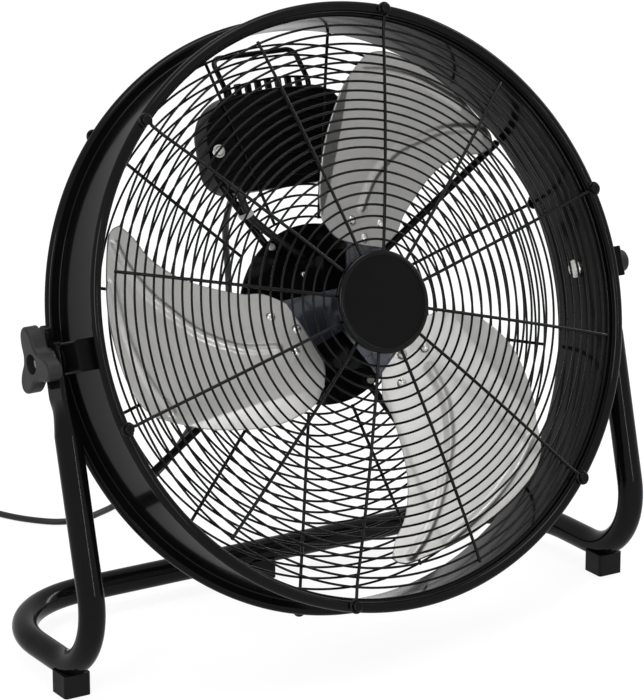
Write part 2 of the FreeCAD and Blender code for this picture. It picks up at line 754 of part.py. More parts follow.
def blade_outline():
    """Outline of a blade: scooped leading edge, round tip and bulged trailing edge."""
    lead = Part.BSplineCurve()
    lead.interpolate([blade_point(0, 42), blade_point(22, 47), blade_point(46, 45.5), blade_point(94, 47.5),
                      blade_point(129, 51.5), blade_point(150, 56)])
    tip_corner = Part.Arc(blade_point(150, 56), blade_point(165, 58.2), blade_point(174, 54))
    tip = Part.Arc(blade_point(174, 54), blade_point(174, 38), blade_point(174, 22))
    shoulder = Part.Arc(blade_point(174, 22), blade_point(168, 15.5), blade_point(153, 11))
    trail = Part.BSplineCurve()
    trail.interpolate([blade_point(153, 11), blade_point(124, 3.5), blade_point(84, -7), blade_point(46, -16),
                       blade_point(20, -19)])
    root = Part.BSplineCurve()
    root.interpolate([blade_point(20, -19), blade_point(0, -12), blade_point(-9, 14), blade_point(0, 42)])
    return Part.Wire([curve.toShape() for curve in (lead, tip_corner, tip, shoulder, trail, root)])


def rivet_places():
    """Places of one blade's rivets: distance across, and out from the axis, set off from the blade's root."""
    return [(across, BLADE_ROOT_R + beyond) for across, beyond in RIVET_OFFSETS]


def rivet_frame(across, out):
    """Place on the blade's mid-surface and the sheet's normal there, pointing backwards."""
    step = 0.5
    slope_across = (sheet_y(across + step, out) - sheet_y(across - step, out)) / (2 * step)
    slope_out = (sheet_y(across, out + step) - sheet_y(across, out - step)) / (2 * step)
    normal = V(-slope_across, 1, -slope_out).normalize()
    return V(across, sheet_y(across, out), out), normal


def rivet_holes():
    """Holes for one blade's rivets."""
    holes = []
    for across, out in rivet_places():
        place, normal = rivet_frame(across, out)
        holes.append(rod(place - normal * 10, place + normal * 10, RIVET_R + SEAT))
    return holes


def blade():
    """One blade at its own middle line at the top."""
    body = sheet_solid(-BLADE_T / 2, BLADE_T / 2).common(prism(blade_outline()))
    return cut_all(body, rivet_holes())


def spider_arm():
    """One arm of the hub spider, lying behind a blade's root."""
    arm_end = BLADE_ROOT_R + SPIDER_ARM_LAP
    low = V(SPIDER_ARM_T0 - SPIDER_ARM_HALF * 0.6, 0, 0)
    high = V(SPIDER_ARM_T0 + SPIDER_ARM_HALF * 0.6, 0, 0)
    wide_low = V(SPIDER_ARM_T0 - SPIDER_ARM_HALF, 0, arm_end - SPIDER_ARM_HALF * 0.5)
    wide_high = V(SPIDER_ARM_T0 + SPIDER_ARM_HALF, 0, arm_end - SPIDER_ARM_HALF * 0.5)
    end = V(SPIDER_ARM_T0, 0, arm_end)
    outline = Part.Wire([Part.makeLine(low, high), Part.makeLine(high, wide_high),
                         Part.Arc(wide_high, end, wide_low).toShape(), Part.makeLine(wide_low, low)])
    start = BLADE_T / 2 + SEAT
    arm = sheet_solid(start, start + SPIDER_T).common(prism(outline))
    return cut_all(arm, rivet_holes())


def blade_turns():
    """Angles of the blades' middle lines."""
    return [BLADE_ANGLE + 360.0 / BLADE_COUNT * index for index in range(BLADE_COUNT)]


def hub_spider():
    """Hub boss with three arms."""
    body = along_y(0, 0, SPIDER_BOSS_FRONT, SPIDER_BOSS_REAR, SPIDER_BOSS_R)
    arm = spider_arm()
    for angle in blade_turns():
        body = body.fuse(turned(arm, angle))
    return body.cut(along_y(0, 0, -100, 100, SHAFT_R + FIT / 2)).removeSplitter()


def rivets():
    """Domed rivets through the blades and the spider's arms."""
    group = []
    front = BLADE_T / 2 + 2 * SEAT
    back = BLADE_T / 2 + SPIDER_T + 3 * SEAT
    for across, out in rivet_places():
        place, normal = rivet_frame(across, out)
        shank = rod(place - normal * front, place + normal * back, RIVET_R)
        dome_r = (RIVET_HEAD_R ** 2 + RIVET_HEAD_H ** 2) / (2 * RIVET_HEAD_H)
        ball = Part.makeSphere(dome_r, place - normal * (front + RIVET_HEAD_H - dome_r))
        clip = Part.makeCylinder(2 * RIVET_HEAD_R, 2 * RIVET_HEAD_H, place - normal * front, normal * -1)
        dome = ball.common(clip)
        tail = Part.makeCylinder(0.8 * RIVET_HEAD_R, 1.2, place + normal * back, normal)
        group.append(dome.fuse(shank).fuse(tail).removeSplitter())
    return Part.makeCompound([turned(piece, angle) for angle in blade_turns() for piece in group])


def hub_nut():
    """Nut on the shaft's front end, against the hub."""
    return hexagon(NUT_FLATS, SHAFT_R + FIT / 2, V(0, SPIDER_BOSS_FRONT - SEAT, 0), Y_AXIS * -1, NUT_H)


def box_outline(inset):
    """Control box outline at y = 0: wide round shoulders and tighter lower corners."""
    half = BOX_HALF - inset
    low = BOX_LOW + inset
    high = BOX_HIGH - inset
    top = BOX_TOP_ROUND - inset
    foot = BOX_LOW_ROUND - inset
    diagonal = math.sqrt(0.5)

    def corner(side, radius, level, up):
        """Arc of one corner, from the flank towards the top or the bottom edge."""
        centre = V(side * (half - radius), 0, level - up * radius)
        middle = V(side * radius * diagonal, 0, up * radius * diagonal)
        return Part.Arc(centre + V(side * radius, 0, 0), centre + middle, centre + V(0, 0, up * radius)).toShape()

    edges = [corner(-1, top, high, 1), corner(1, top, high, 1),
             corner(-1, foot, low, -1), corner(1, foot, low, -1)]
    edges.append(Part.makeLine(V(top - half, 0, high), V(half - top, 0, high)))
    edges.append(Part.makeLine(V(foot - half, 0, low), V(half - foot, 0, low)))
    for side in (-1, 1):
        edges.append(Part.makeLine(V(side * half, 0, low + foot), V(side * half, 0, high - top)))
    return Part.Wire(Part.__sortEdges__(edges))


def box_block(inset, y_from, y_to, back_round):
    """Solid of the box outline between two depths, with a rounded back edge."""
    face = Part.Face(box_outline(inset))
    face.translate(V(0, y_from, 0))
    block = face.extrude(V(0, y_to - y_from, 0))
    if back_round <= 0:
        return block
    rim = [edge for edge in block.Edges if abs(edge.CenterOfMass.y - y_to) < 1e-6]
    return block.makeFillet(back_round, rim)


def box_screw_place():
    """Place of the right-hand box screw, between two rear rings."""
    radius = REAR_FIRST_RING + REAR_PITCH * (BOX_SCREW_GAP + 0.5)
    return V(BOX_SCREW_X, 0, math.sqrt(radius ** 2 - BOX_SCREW_X ** 2))


def control_box():
    """Rear housing of the control box with screw bosses and vent slats on its top."""
    shell = box_block(0, BOX_FRONT, BOX_BACK, BOX_BACK_ROUND)
    shell = shell.cut(box_block(BOX_WALL, BOX_FRONT, BOX_BACK - BOX_WALL, BOX_BACK_ROUND - BOX_WALL))
    outer = box_block(0, BOX_FRONT, BOX_BACK, BOX_BACK_ROUND)
    place = box_screw_place()
    for side in (-1, 1):
        boss = along_y(side * place.x, place.z, BOX_FRONT, BOX_FRONT + 18, BOX_BOSS_R)
        shell = shell.fuse(boss.common(outer))
    first = -SLAT_PITCH * (SLAT_COUNT - 1) / 2
    slat_y = HANDLE_Y + 2 * HANDLE_R
    for index in range(SLAT_COUNT):
        left = first + SLAT_PITCH * index - SLAT_W / 2
        shell = shell.fuse(Part.makeBox(SLAT_W, SLAT_DEPTH, SLAT_H + 1, V(left, slat_y, BOX_HIGH - 1)))
    holes = [along_y(SWITCH_X, SWITCH_Z, BOX_BACK - 10, BOX_BACK + 10, SWITCH_SHAFT_R + 2 * HOLE_PLAY),
             along_y(RELIEF_X, RELIEF_Z, BOX_BACK - 10, BOX_BACK + 10, RELIEF_BASE_R + FIT),
             along_y(RELIEF_X, RELIEF_Z, BOX_BACK - BOX_WALL - RELIEF_FLANGE_T - 4 * FIT, BOX_BACK - BOX_WALL,
                     RELIEF_FLANGE_R + FIT)]
    for side in (-1, 1):
        holes.append(along_y(side * place.x, place.z, BOX_FRONT - 1, BOX_FRONT + 17, BOX_SCREW_R + FIT))
        foot = V(side * HANDLE_HALF, HANDLE_Y, BOX_HIGH)
        holes.append(rod(foot - V(0, 0, 12), foot + V(0, 0, 12), HANDLE_R + FIT))
    return shell.cut(Part.makeCompound(holes)).removeSplitter()


def box_cover():
    """Front plate of the control box, lying on the rear grille."""
    place = box_screw_place()
    holes = [along_y(side * place.x, place.z, COVER_FRONT - 1, COVER_BACK + 1, BOX_SCREW_R + HOLE_PLAY)
             for side in (-1, 1)]
    entry = cable_points()[0]
    holes.append(along_y(entry.x, entry.z, COVER_FRONT - 1, COVER_BACK + 1, CABLE_R + HOLE_PLAY))
    return cut_all(box_block(0, COVER_FRONT, COVER_BACK, 0), holes)


def box_screws():
    """Screws that clamp the box to the rear grille, heads at the front."""
    place = box_screw_place()
    under_head = REAR_RING_Y - RING_R - SEAT - WASHER_T - FIT
    return Part.makeCompound([screw(V(side * place.x, under_head, place.z), Y_AXIS, BOX_SCREW_LENGTH,
                                    BOX_SCREW_R, 0.75 * WASHER_R, 3.0) for side in (-1, 1)])


def box_washers():
    """Washers under the box screws' heads, in front of the rear rings."""
    place = box_screw_place()
    back = REAR_RING_Y - RING_R - SEAT
    ring = washer(WASHER_R, BOX_SCREW_R + FIT, back - WASHER_T, back)
    group = []
    for side in (-1, 1):
        copy = ring.copy()
        copy.translate(V(side * place.x, 0, place.z))
        group.append(copy)
    return Part.makeCompound(group)


def rotary_switch():
    """Speed switch on the box's rear wall."""
    back = BOX_BACK - BOX_WALL - FIT
    body = Part.makeBox(SWITCH_SIZE, SWITCH_DEPTH, SWITCH_SIZE,
                        V(SWITCH_X - SWITCH_SIZE / 2, back - SWITCH_DEPTH, SWITCH_Z - SWITCH_SIZE / 2))
    return body.cut(along_y(SWITCH_X, SWITCH_Z, back - 0.6 * SWITCH_DEPTH, back + 1, SWITCH_SHAFT_R + SEAT))


def switch_shaft():
    """Shaft from the switch into the speed knob."""
    start = BOX_BACK - BOX_WALL - FIT - 0.6 * SWITCH_DEPTH + SEAT
    return along_y(SWITCH_X, SWITCH_Z, start, BOX_BACK + 0.7 * SPEED_KNOB_H, SWITCH_SHAFT_R)


def speed_knob():
    """Round speed knob with a grip bar across it."""
    start = BOX_BACK + 2 * HINGE_GAP
    skirt = 0.4 * SPEED_KNOB_H
    base = along_y(0, 0, start, start + skirt, SPEED_KNOB_R)
    bar_w = 0.5 * SPEED_KNOB_R
    bar = Part.makeBox(bar_w, SPEED_KNOB_H - skirt + 1, 1.8 * SPEED_KNOB_R,
                       V(-bar_w / 2, start + skirt - 1, -0.9 * SPEED_KNOB_R))
    hub = along_y(0, 0, start + skirt - 1, start + SPEED_KNOB_H, 0.55 * SPEED_KNOB_R)
    knob = base.fuse(bar).fuse(hub).removeSplitter()
    knob.translate(V(SWITCH_X, 0, SWITCH_Z))
    bore_end = BOX_BACK + 0.7 * SPEED_KNOB_H + SEAT
    return knob.cut(along_y(SWITCH_X, SWITCH_Z, start - 1, bore_end, SWITCH_SHAFT_R + FIT))


def capacitor():
    """Run capacitor on the box's rear wall."""
    back = BOX_BACK - BOX_WALL - FIT
    return Part.makeBox(CAPACITOR_W, CAPACITOR_D, CAPACITOR_H,
                        V(CAPACITOR_X - CAPACITOR_W / 2, back - CAPACITOR_D, SWITCH_Z - CAPACITOR_H / 2))


def cable_points():
    """Motor cable: out of the box, through the rear grille, along a strut and into the motor's side."""
    y = PLATE_FRONT - CABLE_R - CABLE_Y_GAP
    gap = REAR_FIRST_RING + REAR_PITCH * 5.5
    through = polar(gap, -26.0)
    on_strut = polar(CABLE_TIE_RADIUS + 6, STRUT_ANGLES[3])
    leave = polar(CABLE_TIE_RADIUS - 12, STRUT_ANGLES[3])
    entry = polar(MOTOR_R - 0.5 * MOTOR_WALL, -10.0)
    return [V(through.x, BOX_FRONT + 6, through.z), V(through.x, y, through.z), V(on_strut.x, y, on_strut.z),
            V(leave.x, y, leave.z), V(entry.x, y, entry.z)]


def motor_cable():
    """Sheathed motor cable."""
    return sweep_round(bent_path(cable_points(), (9.0, 20.0, 25.0)), CABLE_R)


def cable_tie():
    """Tie round the motor cable and its strut."""
    low = PLATE_FRONT - CABLE_R - CABLE_Y_GAP
    half = max(CABLE_R, STRUT_R) + 3 * SEAT
    width = CABLE_TIE_W

    def obround(radius):
        """Obround prism round both."""
        base = CABLE_TIE_RADIUS - width / 2
        bottom = Part.makeCylinder(radius, width, V(0, low, base), Z_AXIS)
        top = Part.makeCylinder(radius, width, V(0, STRUT_Y, base), Z_AXIS)
        middle = Part.makeBox(2 * radius, STRUT_Y - low, width, V(-radius, low, base))
        return bottom.fuse(top).fuse(middle).removeSplitter()

    return turned(obround(half + CABLE_TIE_T).cut(obround(half)), STRUT_ANGLES[3])


def handle_points():
    """Centre line of the carrying handle."""
    foot = handle_nut_top() - HANDLE_NUT_H - 1
    right = [V(HANDLE_HALF, HANDLE_Y, foot), V(HANDLE_HALF, HANDLE_Y, HANDLE_KNEE),
             V(HANDLE_HALF, HANDLE_Y + HANDLE_LEAN, HANDLE_TOP)]
    left = [V(-p.x, p.y, p.z) for p in reversed(right)]
    return right + left


def handle():
    """Bent wire handle on top of the control box."""
    return sweep_round(bent_path(handle_points(), (10.0, 9.0, 9.0, 10.0)), HANDLE_R)


def handle_nuts():
    """Round nuts on the handle's ends, under the box's top wall."""
    top = handle_nut_top()
    nut = Part.makeCylinder(HANDLE_NUT_R, HANDLE_NUT_H, V(HANDLE_HALF, HANDLE_Y, top - HANDLE_NUT_H))
    nut = nut.cut(rod(V(HANDLE_HALF, HANDLE_Y, 0), V(HANDLE_HALF, HANDLE_Y, 300), HANDLE_R + FIT / 2))
    return Part.makeCompound([nut, mirrored(nut)])


def handle_nut_top():
    """Height where a handle nut's outer edge meets the box's curved roof from inside."""
    outward = max(0.0, HANDLE_HALF + HANDLE_NUT_R - (BOX_HALF - BOX_TOP_ROUND))
    inside = BOX_TOP_ROUND - BOX_WALL
    return BOX_HIGH - BOX_TOP_ROUND + math.sqrt(inside ** 2 - outward ** 2) - SEAT


def relief_end():
    """Place where the cord leaves the strain relief, on the upright drum."""
    return V(RELIEF_X, BOX_BACK + RELIEF_LENGTH, RELIEF_Z)


def strain_relief():
    """Tapered rubber sleeve with a flange inside the box wall."""
    inside = BOX_BACK - BOX_WALL
    sleeve = Part.makeCone(RELIEF_BASE_R, RELIEF_TIP_R, RELIEF_LENGTH, V(RELIEF_X, BOX_BACK, RELIEF_Z), Y_AXIS)
    neck = along_y(RELIEF_X, RELIEF_Z, inside - FIT, BOX_BACK, RELIEF_BASE_R)
    flange = along_y(RELIEF_X, RELIEF_Z, inside - FIT - RELIEF_FLANGE_T, inside - FIT, RELIEF_FLANGE_R)
    return flange.fuse(neck).fuse(sleeve).removeSplitter()


def pivot_bracket():
    """Right-hand block between the beads that spaces the drum from the leg."""
    block = Part.makeBox(BRACKET_OUT - WALL_RADIUS + 10, 2 * BRACKET_HALF_Y, 2 * BRACKET_HALF_Z,
                         V(WALL_RADIUS - 10, -BRACKET_HALF_Y, -BRACKET_HALF_Z))
    upright = [edge for edge in block.Edges if abs(edge.CenterOfMass.x - BRACKET_OUT) < 1e-6]
    block = block.makeFillet(3.0, upright)
    drum = Part.makeCylinder(WALL_RADIUS + SEAT, 4 * BRACKET_HALF_Y, V(0, -2 * BRACKET_HALF_Y, 0), Y_AXIS)
    return block.cut(drum).cut(along_x(0, 400, BOLT_R + HOLE_PLAY))


def pivot_bolts():
    """Bolts from inside the drum, with domed heads."""
    head_top = WALL_INNER - FIT
    seat = math.sqrt(head_top ** 2 - BOLT_HEAD_R ** 2)
    shank = along_x(seat - 1, BOLT_END, BOLT_R)
    head = along_x(seat - BOLT_HEAD_H, seat, BOLT_HEAD_R)
    rim = [edge for edge in head.Edges if edge.Closed and abs(edge.CenterOfMass.x - seat + BOLT_HEAD_H) < 1e-6]
    bolt = head.makeFillet(0.6 * BOLT_HEAD_H, rim).fuse(shank).removeSplitter()
    return Part.makeCompound([bolt, mirrored(bolt)])


def tilt_ring(outer, inner, x_from, x_to):
    """Flat ring on the tilt axis."""
    return along_x(x_from, x_to, outer).cut(along_x(x_from - 1, x_to + 1, inner))


def friction_washers():
    """Fibre washers between the brackets and the legs."""
    face = BRACKET_OUT + HINGE_GAP / 2
    ring = tilt_ring(FRICTION_R, BOLT_R + FIT, face, face + FRICTION_T)
    return Part.makeCompound([ring, mirrored(ring)])


def clamp_washer():
    """Right-hand steel washer between the leg and the knob."""
    return tilt_ring(CLAMP_WASHER_R, BOLT_R + SEAT, CLAMP_IN, CLAMP_IN + CLAMP_WASHER_T)


def knob_outline(x):
    """Wire of the lobed knob's outline at a place along the tilt axis."""
    points = []
    count = 24 * KNOB_LOBES
    for index in range(count):
        turn = 360.0 / count * index
        lobe = (1 + math.cos(math.radians(KNOB_LOBES * (turn - KNOB_LOBE_PHASE)))) / 2
        radius = KNOB_WAIST + (KNOB_REACH - KNOB_WAIST) * lobe ** KNOB_LOBE_POWER
        angle = math.radians(turn)
        points.append(V(x, radius * math.sin(angle), radius * math.cos(angle)))
    curve = Part.BSplineCurve()
    curve.interpolate(points, True)
    return Part.Wire([curve.toShape()])


def clamp_knob():
    """Lobed clamp knob with a boss, a nut pocket and a round recess in its face, drawn on the right."""
    lobes_from = KNOB_FACE - KNOB_T
    body = Part.Face(knob_outline(lobes_from)).extrude(V(KNOB_T, 0, 0))
    rims = [edge for edge in body.Edges if abs(edge.BoundBox.XMin - KNOB_FACE) < 1e-3]
    body = body.makeFillet(KNOB_EDGE_ROUND, rims)
    body = body.fuse(along_x(KNOB_IN, lobes_from, KNOB_BOSS_R))
    pocket = KNOB_FACE - KNOB_RECESS
    nut_from = pocket - KNOB_NUT_H
    body = body.cut(along_x(pocket, KNOB_FACE + 1, KNOB_RECESS_R))
    body = body.cut(hexagon(KNOB_NUT_FLATS + 2 * FIT, 0.01, V(nut_from - FIT, 0, 0), X_AXIS, KNOB_NUT_H + 1))
    return body.cut(along_x(KNOB_IN - 1, KNOB_FACE, BOLT_R + HOLE_PLAY)).removeSplitter()


def round_knob():
    """Plain round clamp knob on the right, with its nut pocket open towards the leg."""
    body = along_x(KNOB_IN, KNOB_FACE, ROUND_KNOB_R)
    rims = [edge for edge in body.Edges if edge.Closed and abs(edge.CenterOfMass.x - KNOB_FACE) < 1e-6]
    body = body.makeFillet(KNOB_EDGE_ROUND, rims)
    nut_to = KNOB_FACE - KNOB_RECESS
    depth = nut_to + FIT - KNOB_IN + 1
    body = body.cut(hexagon(KNOB_NUT_FLATS + 2 * FIT, 0.01, V(KNOB_IN - 1, 0, 0), X_AXIS, depth))
    return body.cut(along_x(KNOB_IN - 1, BOLT_END + 2 * SEAT, BOLT_R + HOLE_PLAY)).removeSplitter()


def knob_nut():
    """Right-hand nut pressed into the knob's pocket."""
    seat = V(KNOB_FACE - KNOB_RECESS - KNOB_NUT_H, 0, 0)
    return hexagon(KNOB_NUT_FLATS, BOLT_R + SEAT, seat, X_AXIS, KNOB_NUT_H)


FLOOR = -PIVOT_HEIGHT
RAIL_Z = FLOOR + RAIL_HEIGHT


def leg_point(distance):
    """Point of the right leg's centre line at a distance down from the pivot."""
    lean = math.radians(LEG_LEAN)
    return V(LEG_X, -distance * math.sin(lean), -distance * math.cos(lean))


def stand_path():
    """Centre line of the stand tube, from one leg's blend to the other's."""
    corner = leg_point(-RAIL_Z / math.cos(math.radians(LEG_LEAN)))
    right = [leg_point(FLAT_BLEND), corner, V(LEG_X, CROSSBAR_Y, RAIL_Z)]
    left = [V(-p.x, p.y, p.z) for p in reversed(right)]
    return bent_path(right + left, (LEG_BEND, CORNER_BEND, CORNER_BEND, LEG_BEND))


def obround_wire(distance):
    """Flattened tube section at a distance down the right leg."""
    down = (leg_point(1) - leg_point(0)).normalize()
    wide = X_AXIS.cross(down)
    centre = leg_point(distance) + V(FLAT_SHIFT, 0, 0)
    half = FLAT_W / 2 - FLAT_T / 2
    out = X_AXIS * (FLAT_T / 2)
    a, b = centre + wide * half, centre - wide * half
    return Part.Wire([Part.makeLine(b + out, a + out),
                      Part.Arc(a + out, a + wide * (FLAT_T / 2), a - out).toShape(),
                      Part.makeLine(a - out, b - out),
                      Part.Arc(b - out, b - wide * (FLAT_T / 2), b + out).toShape()])


def leg_top():
    """Flattened top of the right leg: a tall rear lobe, a lower front lobe and the pivot hole."""
    down = (leg_point(1) - leg_point(0)).normalize()
    wide = X_AXIS.cross(down)
    flat = Part.Face(obround_wire(FLAT_LOW)).extrude(down * -(FLAT_LOW + FLAT_TOP))
    inner = V(FLAT_SHIFT - FLAT_T / 2, 0, 0)
    quarter = FLAT_W / 4
    reach = down * (FLAT_LOW + 2 * FLAT_TOP)
    lobes = []
    for side, top in ((1, FLAT_TOP), (-1, FLAT_STEP)):
        centre = leg_point(quarter - top) + wide * (side * quarter) + inner
        rear, front = centre + wide * quarter, centre - wide * quarter
        strip = Part.Face(Part.makePolygon([rear, front, front + reach, rear + reach, rear]))
        lobes.append(Part.makeCylinder(quarter, FLAT_T, centre, X_AXIS))
        lobes.append(strip.extrude(V(FLAT_T, 0, 0)))
    flat = flat.common(lobes[0].fuse(lobes[1:]).removeSplitter())
    circle = Part.Wire(Part.makeCircle(TUBE_R, leg_point(FLAT_BLEND), down))
    blend = Part.makeLoft([obround_wire(FLAT_LOW), circle], True, True)
    return flat.fuse(blend).cut(along_x(0, 400, BOLT_R + SEAT))


def stand_tube():
    """Whole stand: hollow tube with flattened leg tops and holes for the foot screws."""
    path = stand_path()
    tube = sweep_round(path, TUBE_R).cut(sweep_round(path, TUBE_R - TUBE_WALL))
    top = leg_top()
    holes = [rod(V(p.x, p.y, FLOOR), V(p.x, p.y, p.z), FOOT_SCREW_R + HOLE_PLAY) for p in foot_places()]
    return tube.fuse(top).fuse(mirrored(top)).cut(Part.makeCompound(holes)).removeSplitter()


def foot_places():
    """Tube centres above the feet: left front, right front, rear."""
    bend_y = leg_point(-RAIL_Z / math.cos(math.radians(LEG_LEAN))).y
    bend_y += LEG_BEND * math.tan(math.radians((90 + LEG_LEAN) / 2))
    bend_z = RAIL_Z + LEG_BEND
    ahead = min(0.0, FRONT_FOOT_Y - bend_y)
    z = bend_z - math.sqrt(LEG_BEND ** 2 - ahead ** 2)
    return [V(-LEG_X, FRONT_FOOT_Y, z), V(LEG_X, FRONT_FOOT_Y, z), V(0, CROSSBAR_Y, RAIL_Z)]


def foot(place, height):
    """Rubber foot with a saddle for the tube and a recessed screw hole."""
    half = FOOT_SIZE / 2
    block = Part.makeBox(FOOT_SIZE, FOOT_SIZE, height, V(place.x - half, place.y - half, FLOOR))
    block = block.makeFillet(3.0, [edge for edge in block.Edges if abs(edge.CenterOfMass.z - FLOOR) > 1e-6
                                   and edge.BoundBox.ZLength > 1])
    block = block.cut(sweep_round(stand_path(), TUBE_R + SEAT))
    base = V(place.x, place.y, FLOOR - 1)
    hole = rod(base, place, FOOT_SCREW_R + HOLE_PLAY)
    recess = rod(base, V(place.x, place.y, FLOOR + FOOT_RECESS), FOOT_HEAD_R + HOLE_PLAY)
    solids = block.cut(hole).cut(recess).Solids
    return max(solids, key=lambda solid: solid.Volume)


def foot_screws():
    """Screws up through the feet into the tube."""
    under_head = FLOOR + FOOT_RECESS - FIT
    return Part.makeCompound([screw(V(p.x, p.y, under_head), Z_AXIS, FOOT_SCREW_REACH, FOOT_SCREW_R,
                                    FOOT_HEAD_R, FOOT_HEAD_H) for p in foot_places()])


CORD_FLOOR = FLOOR + CORD_R + FLOOR_GAP
COIL_LOW = CORD_FLOOR + COIL_LIFT
COIL_HIGH = COIL_LOW + COIL_RISE


def tilted_point(place):
    """Point of the upright drum after tilting, about the pivot."""
    turn = math.radians(REST_TILT)
    return V(place.x, place.y * math.cos(turn) + place.z * math.sin(turn),
             place.z * math.cos(turn) - place.y * math.sin(turn))


def drop_points():
    """Hanging stretch of the cord, from the strain relief to the floor behind the stand."""
    start = tilted_point(relief_end() + V(0, SEAT, 0))
    ahead = tilted_point(relief_end() + V(0, 40, 0))
    return [start, ahead, V(16, 240, 30), V(30, 254, -38), V(42, 276, -104), V(40, 308, -166), V(32, 344, -220),
            V(20, 374, -264), V(-1, 393, -290), V(-27, 393, CORD_FLOOR), V(-47, 384.5, CORD_FLOOR)]


def run_points():
    """Floor stretch of the cord, winding to the left and back to the coil."""
    before, first = drop_points()[-2:]
    coil_start = V(COIL_X + COIL_RADIUS, COIL_Y, COIL_LOW)
    return [first, first + (first - before), V(-95, 379, CORD_FLOOR), V(-117, 402, CORD_FLOOR),
            V(-132, 427, CORD_FLOOR), V(-142, 455, CORD_FLOOR), coil_start - V(0, 42, 0),
            coil_start - V(0, 2 * CORD_R, 0)]


def cord_radii(points):
    """Largest bend radius that each inner point of a cord's route allows."""
    radii = []
    for before, corner, after in zip(points, points[1:], points[2:]):
        turn = math.pi - (before - corner).getAngle(after - corner)
        shorter = min((before - corner).Length, (after - corner).Length)
        radii.append(0.45 * shorter / math.tan(turn / 2))
    return radii


def cord_stretch(name, points):
    """Tube along a cord's route; prints its bend radii and compares its volume with its length."""
    radii = cord_radii(points)
    path = bent_path(points, radii)
    tube = sweep_round(path, CORD_R)
    share = tube.Volume / (math.pi * CORD_R ** 2 * path.Length)
    print(name, "radii", [round(radius) for radius in radii], "length", round(path.Length),
          "volume", round(share, 4))
    return tube


def coil_edges():
    """Centre line of the coil: half turns that spiral in, climb a layer and spiral out again."""
    edges = []
    here = V(COIL_X + COIL_RADIUS, COIL_Y, COIL_LOW)
    edges.append(Part.makeLine(here - V(0, 2 * CORD_R, 0), here))
    radius = COIL_RADIUS
    side = -1
    steps = [-COIL_PITCH / 2] * (2 * COIL_TURNS) + [COIL_PITCH / 2] * (2 * COIL_TURNS)
    for index, step in enumerate(steps):
        climb = COIL_RISE if index == 2 * COIL_TURNS else 0.0
        end = here + V(side * 2 * radius, 0, climb)
        middle = (here + end) * 0.5 + V(0, -side * radius, 0)
        edges.append(Part.Arc(here, middle, end).toShape())
        here = end
        side = -side
        radius += step
    edges.append(Part.makeLine(here, here + V(0, CORD_LEAD, 0)))
    return edges


def cord_coil():
    """Coil of the spare cord as one unbroken tube; prints its least gap to itself."""
    path = Part.Wire(coil_edges())
    tube = sweep_round(path, CORD_R)
    count = 400
    points = path.discretize(Number=count)
    apart = int(1.2 * math.pi * COIL_RADIUS / (path.Length / count))
    least = min((points[i] - points[j]).Length for i in range(count) for j in range(i + apart, count))
    print("coil length", round(path.Length), "least gap", round(least - 2 * CORD_R, 2),
          "volume", round(tube.Volume / (math.pi * CORD_R ** 2 * path.Length), 4))
    return tube


def coil_end():
    """End of the coil's centre line."""
    last = coil_edges()[-1]
    return last.valueAt(last.LastParameter)


def cord_tie():
    """Flat tie round the coil's turns, on the side away from the fan's cord entry."""
    inner_x = COIL_X - COIL_RADIUS - CORD_R - COIL_PITCH - TIE_GAP
    outer_x = COIL_X - COIL_RADIUS + 2 * COIL_PITCH + CORD_R + COIL_PITCH + TIE_GAP
    low = COIL_LOW - CORD_R - TIE_GAP
    high = COIL_HIGH + CORD_R + TIE_GAP
    outer = Part.makeBox(outer_x - inner_x + 2 * TIE_T, TIE_W, high - low + 2 * TIE_T,
                         V(inner_x - TIE_T, COIL_Y - TIE_W / 2, low - TIE_T))
    inner = Part.makeBox(outer_x - inner_x, TIE_W, high - low, V(inner_x, COIL_Y - TIE_W / 2, low))
    return outer.cut(inner)


def plug_body():
    """Flat two-pin plug with a tapered tail where the cord ends."""
    start = coil_end()
    half = COIL_HIGH - FLOOR
    tail = Part.makeCone(1.4 * CORD_R, PLUG_TAIL_R, PLUG_TAIL, start + V(0, SEAT, 0), Y_AXIS)
    head = Part.makeBox(PLUG_WIDTH, PLUG_LENGTH, 2 * half - 2 * FLOOR_GAP,
                        V(start.x - PLUG_WIDTH / 2, start.y + PLUG_TAIL, FLOOR + FLOOR_GAP))
    head = head.makeFillet(5.0, [edge for edge in head.Edges if edge.BoundBox.YLength > PLUG_LENGTH / 2])
    holes = [plug_pin(side, HOLE_PLAY / 5) for side in (-1, 1)]
    return head.fuse(tail).cut(Part.makeCompound(holes)).removeSplitter()


def plug_pin(side, play):
    """One plug pin, seated 8 mm deep in the plug."""
    depth = 8.0
    start = coil_end() + V(side * PIN_SPACING / 2, PLUG_TAIL + PLUG_LENGTH - depth, 0)
    return Part.makeCylinder(PIN_R + play, depth + PIN_LENGTH, start, Y_AXIS)


def plug_pins():
    """Both plug pins."""
    return Part.makeCompound([plug_pin(side, 0) for side in (-1, 1)])


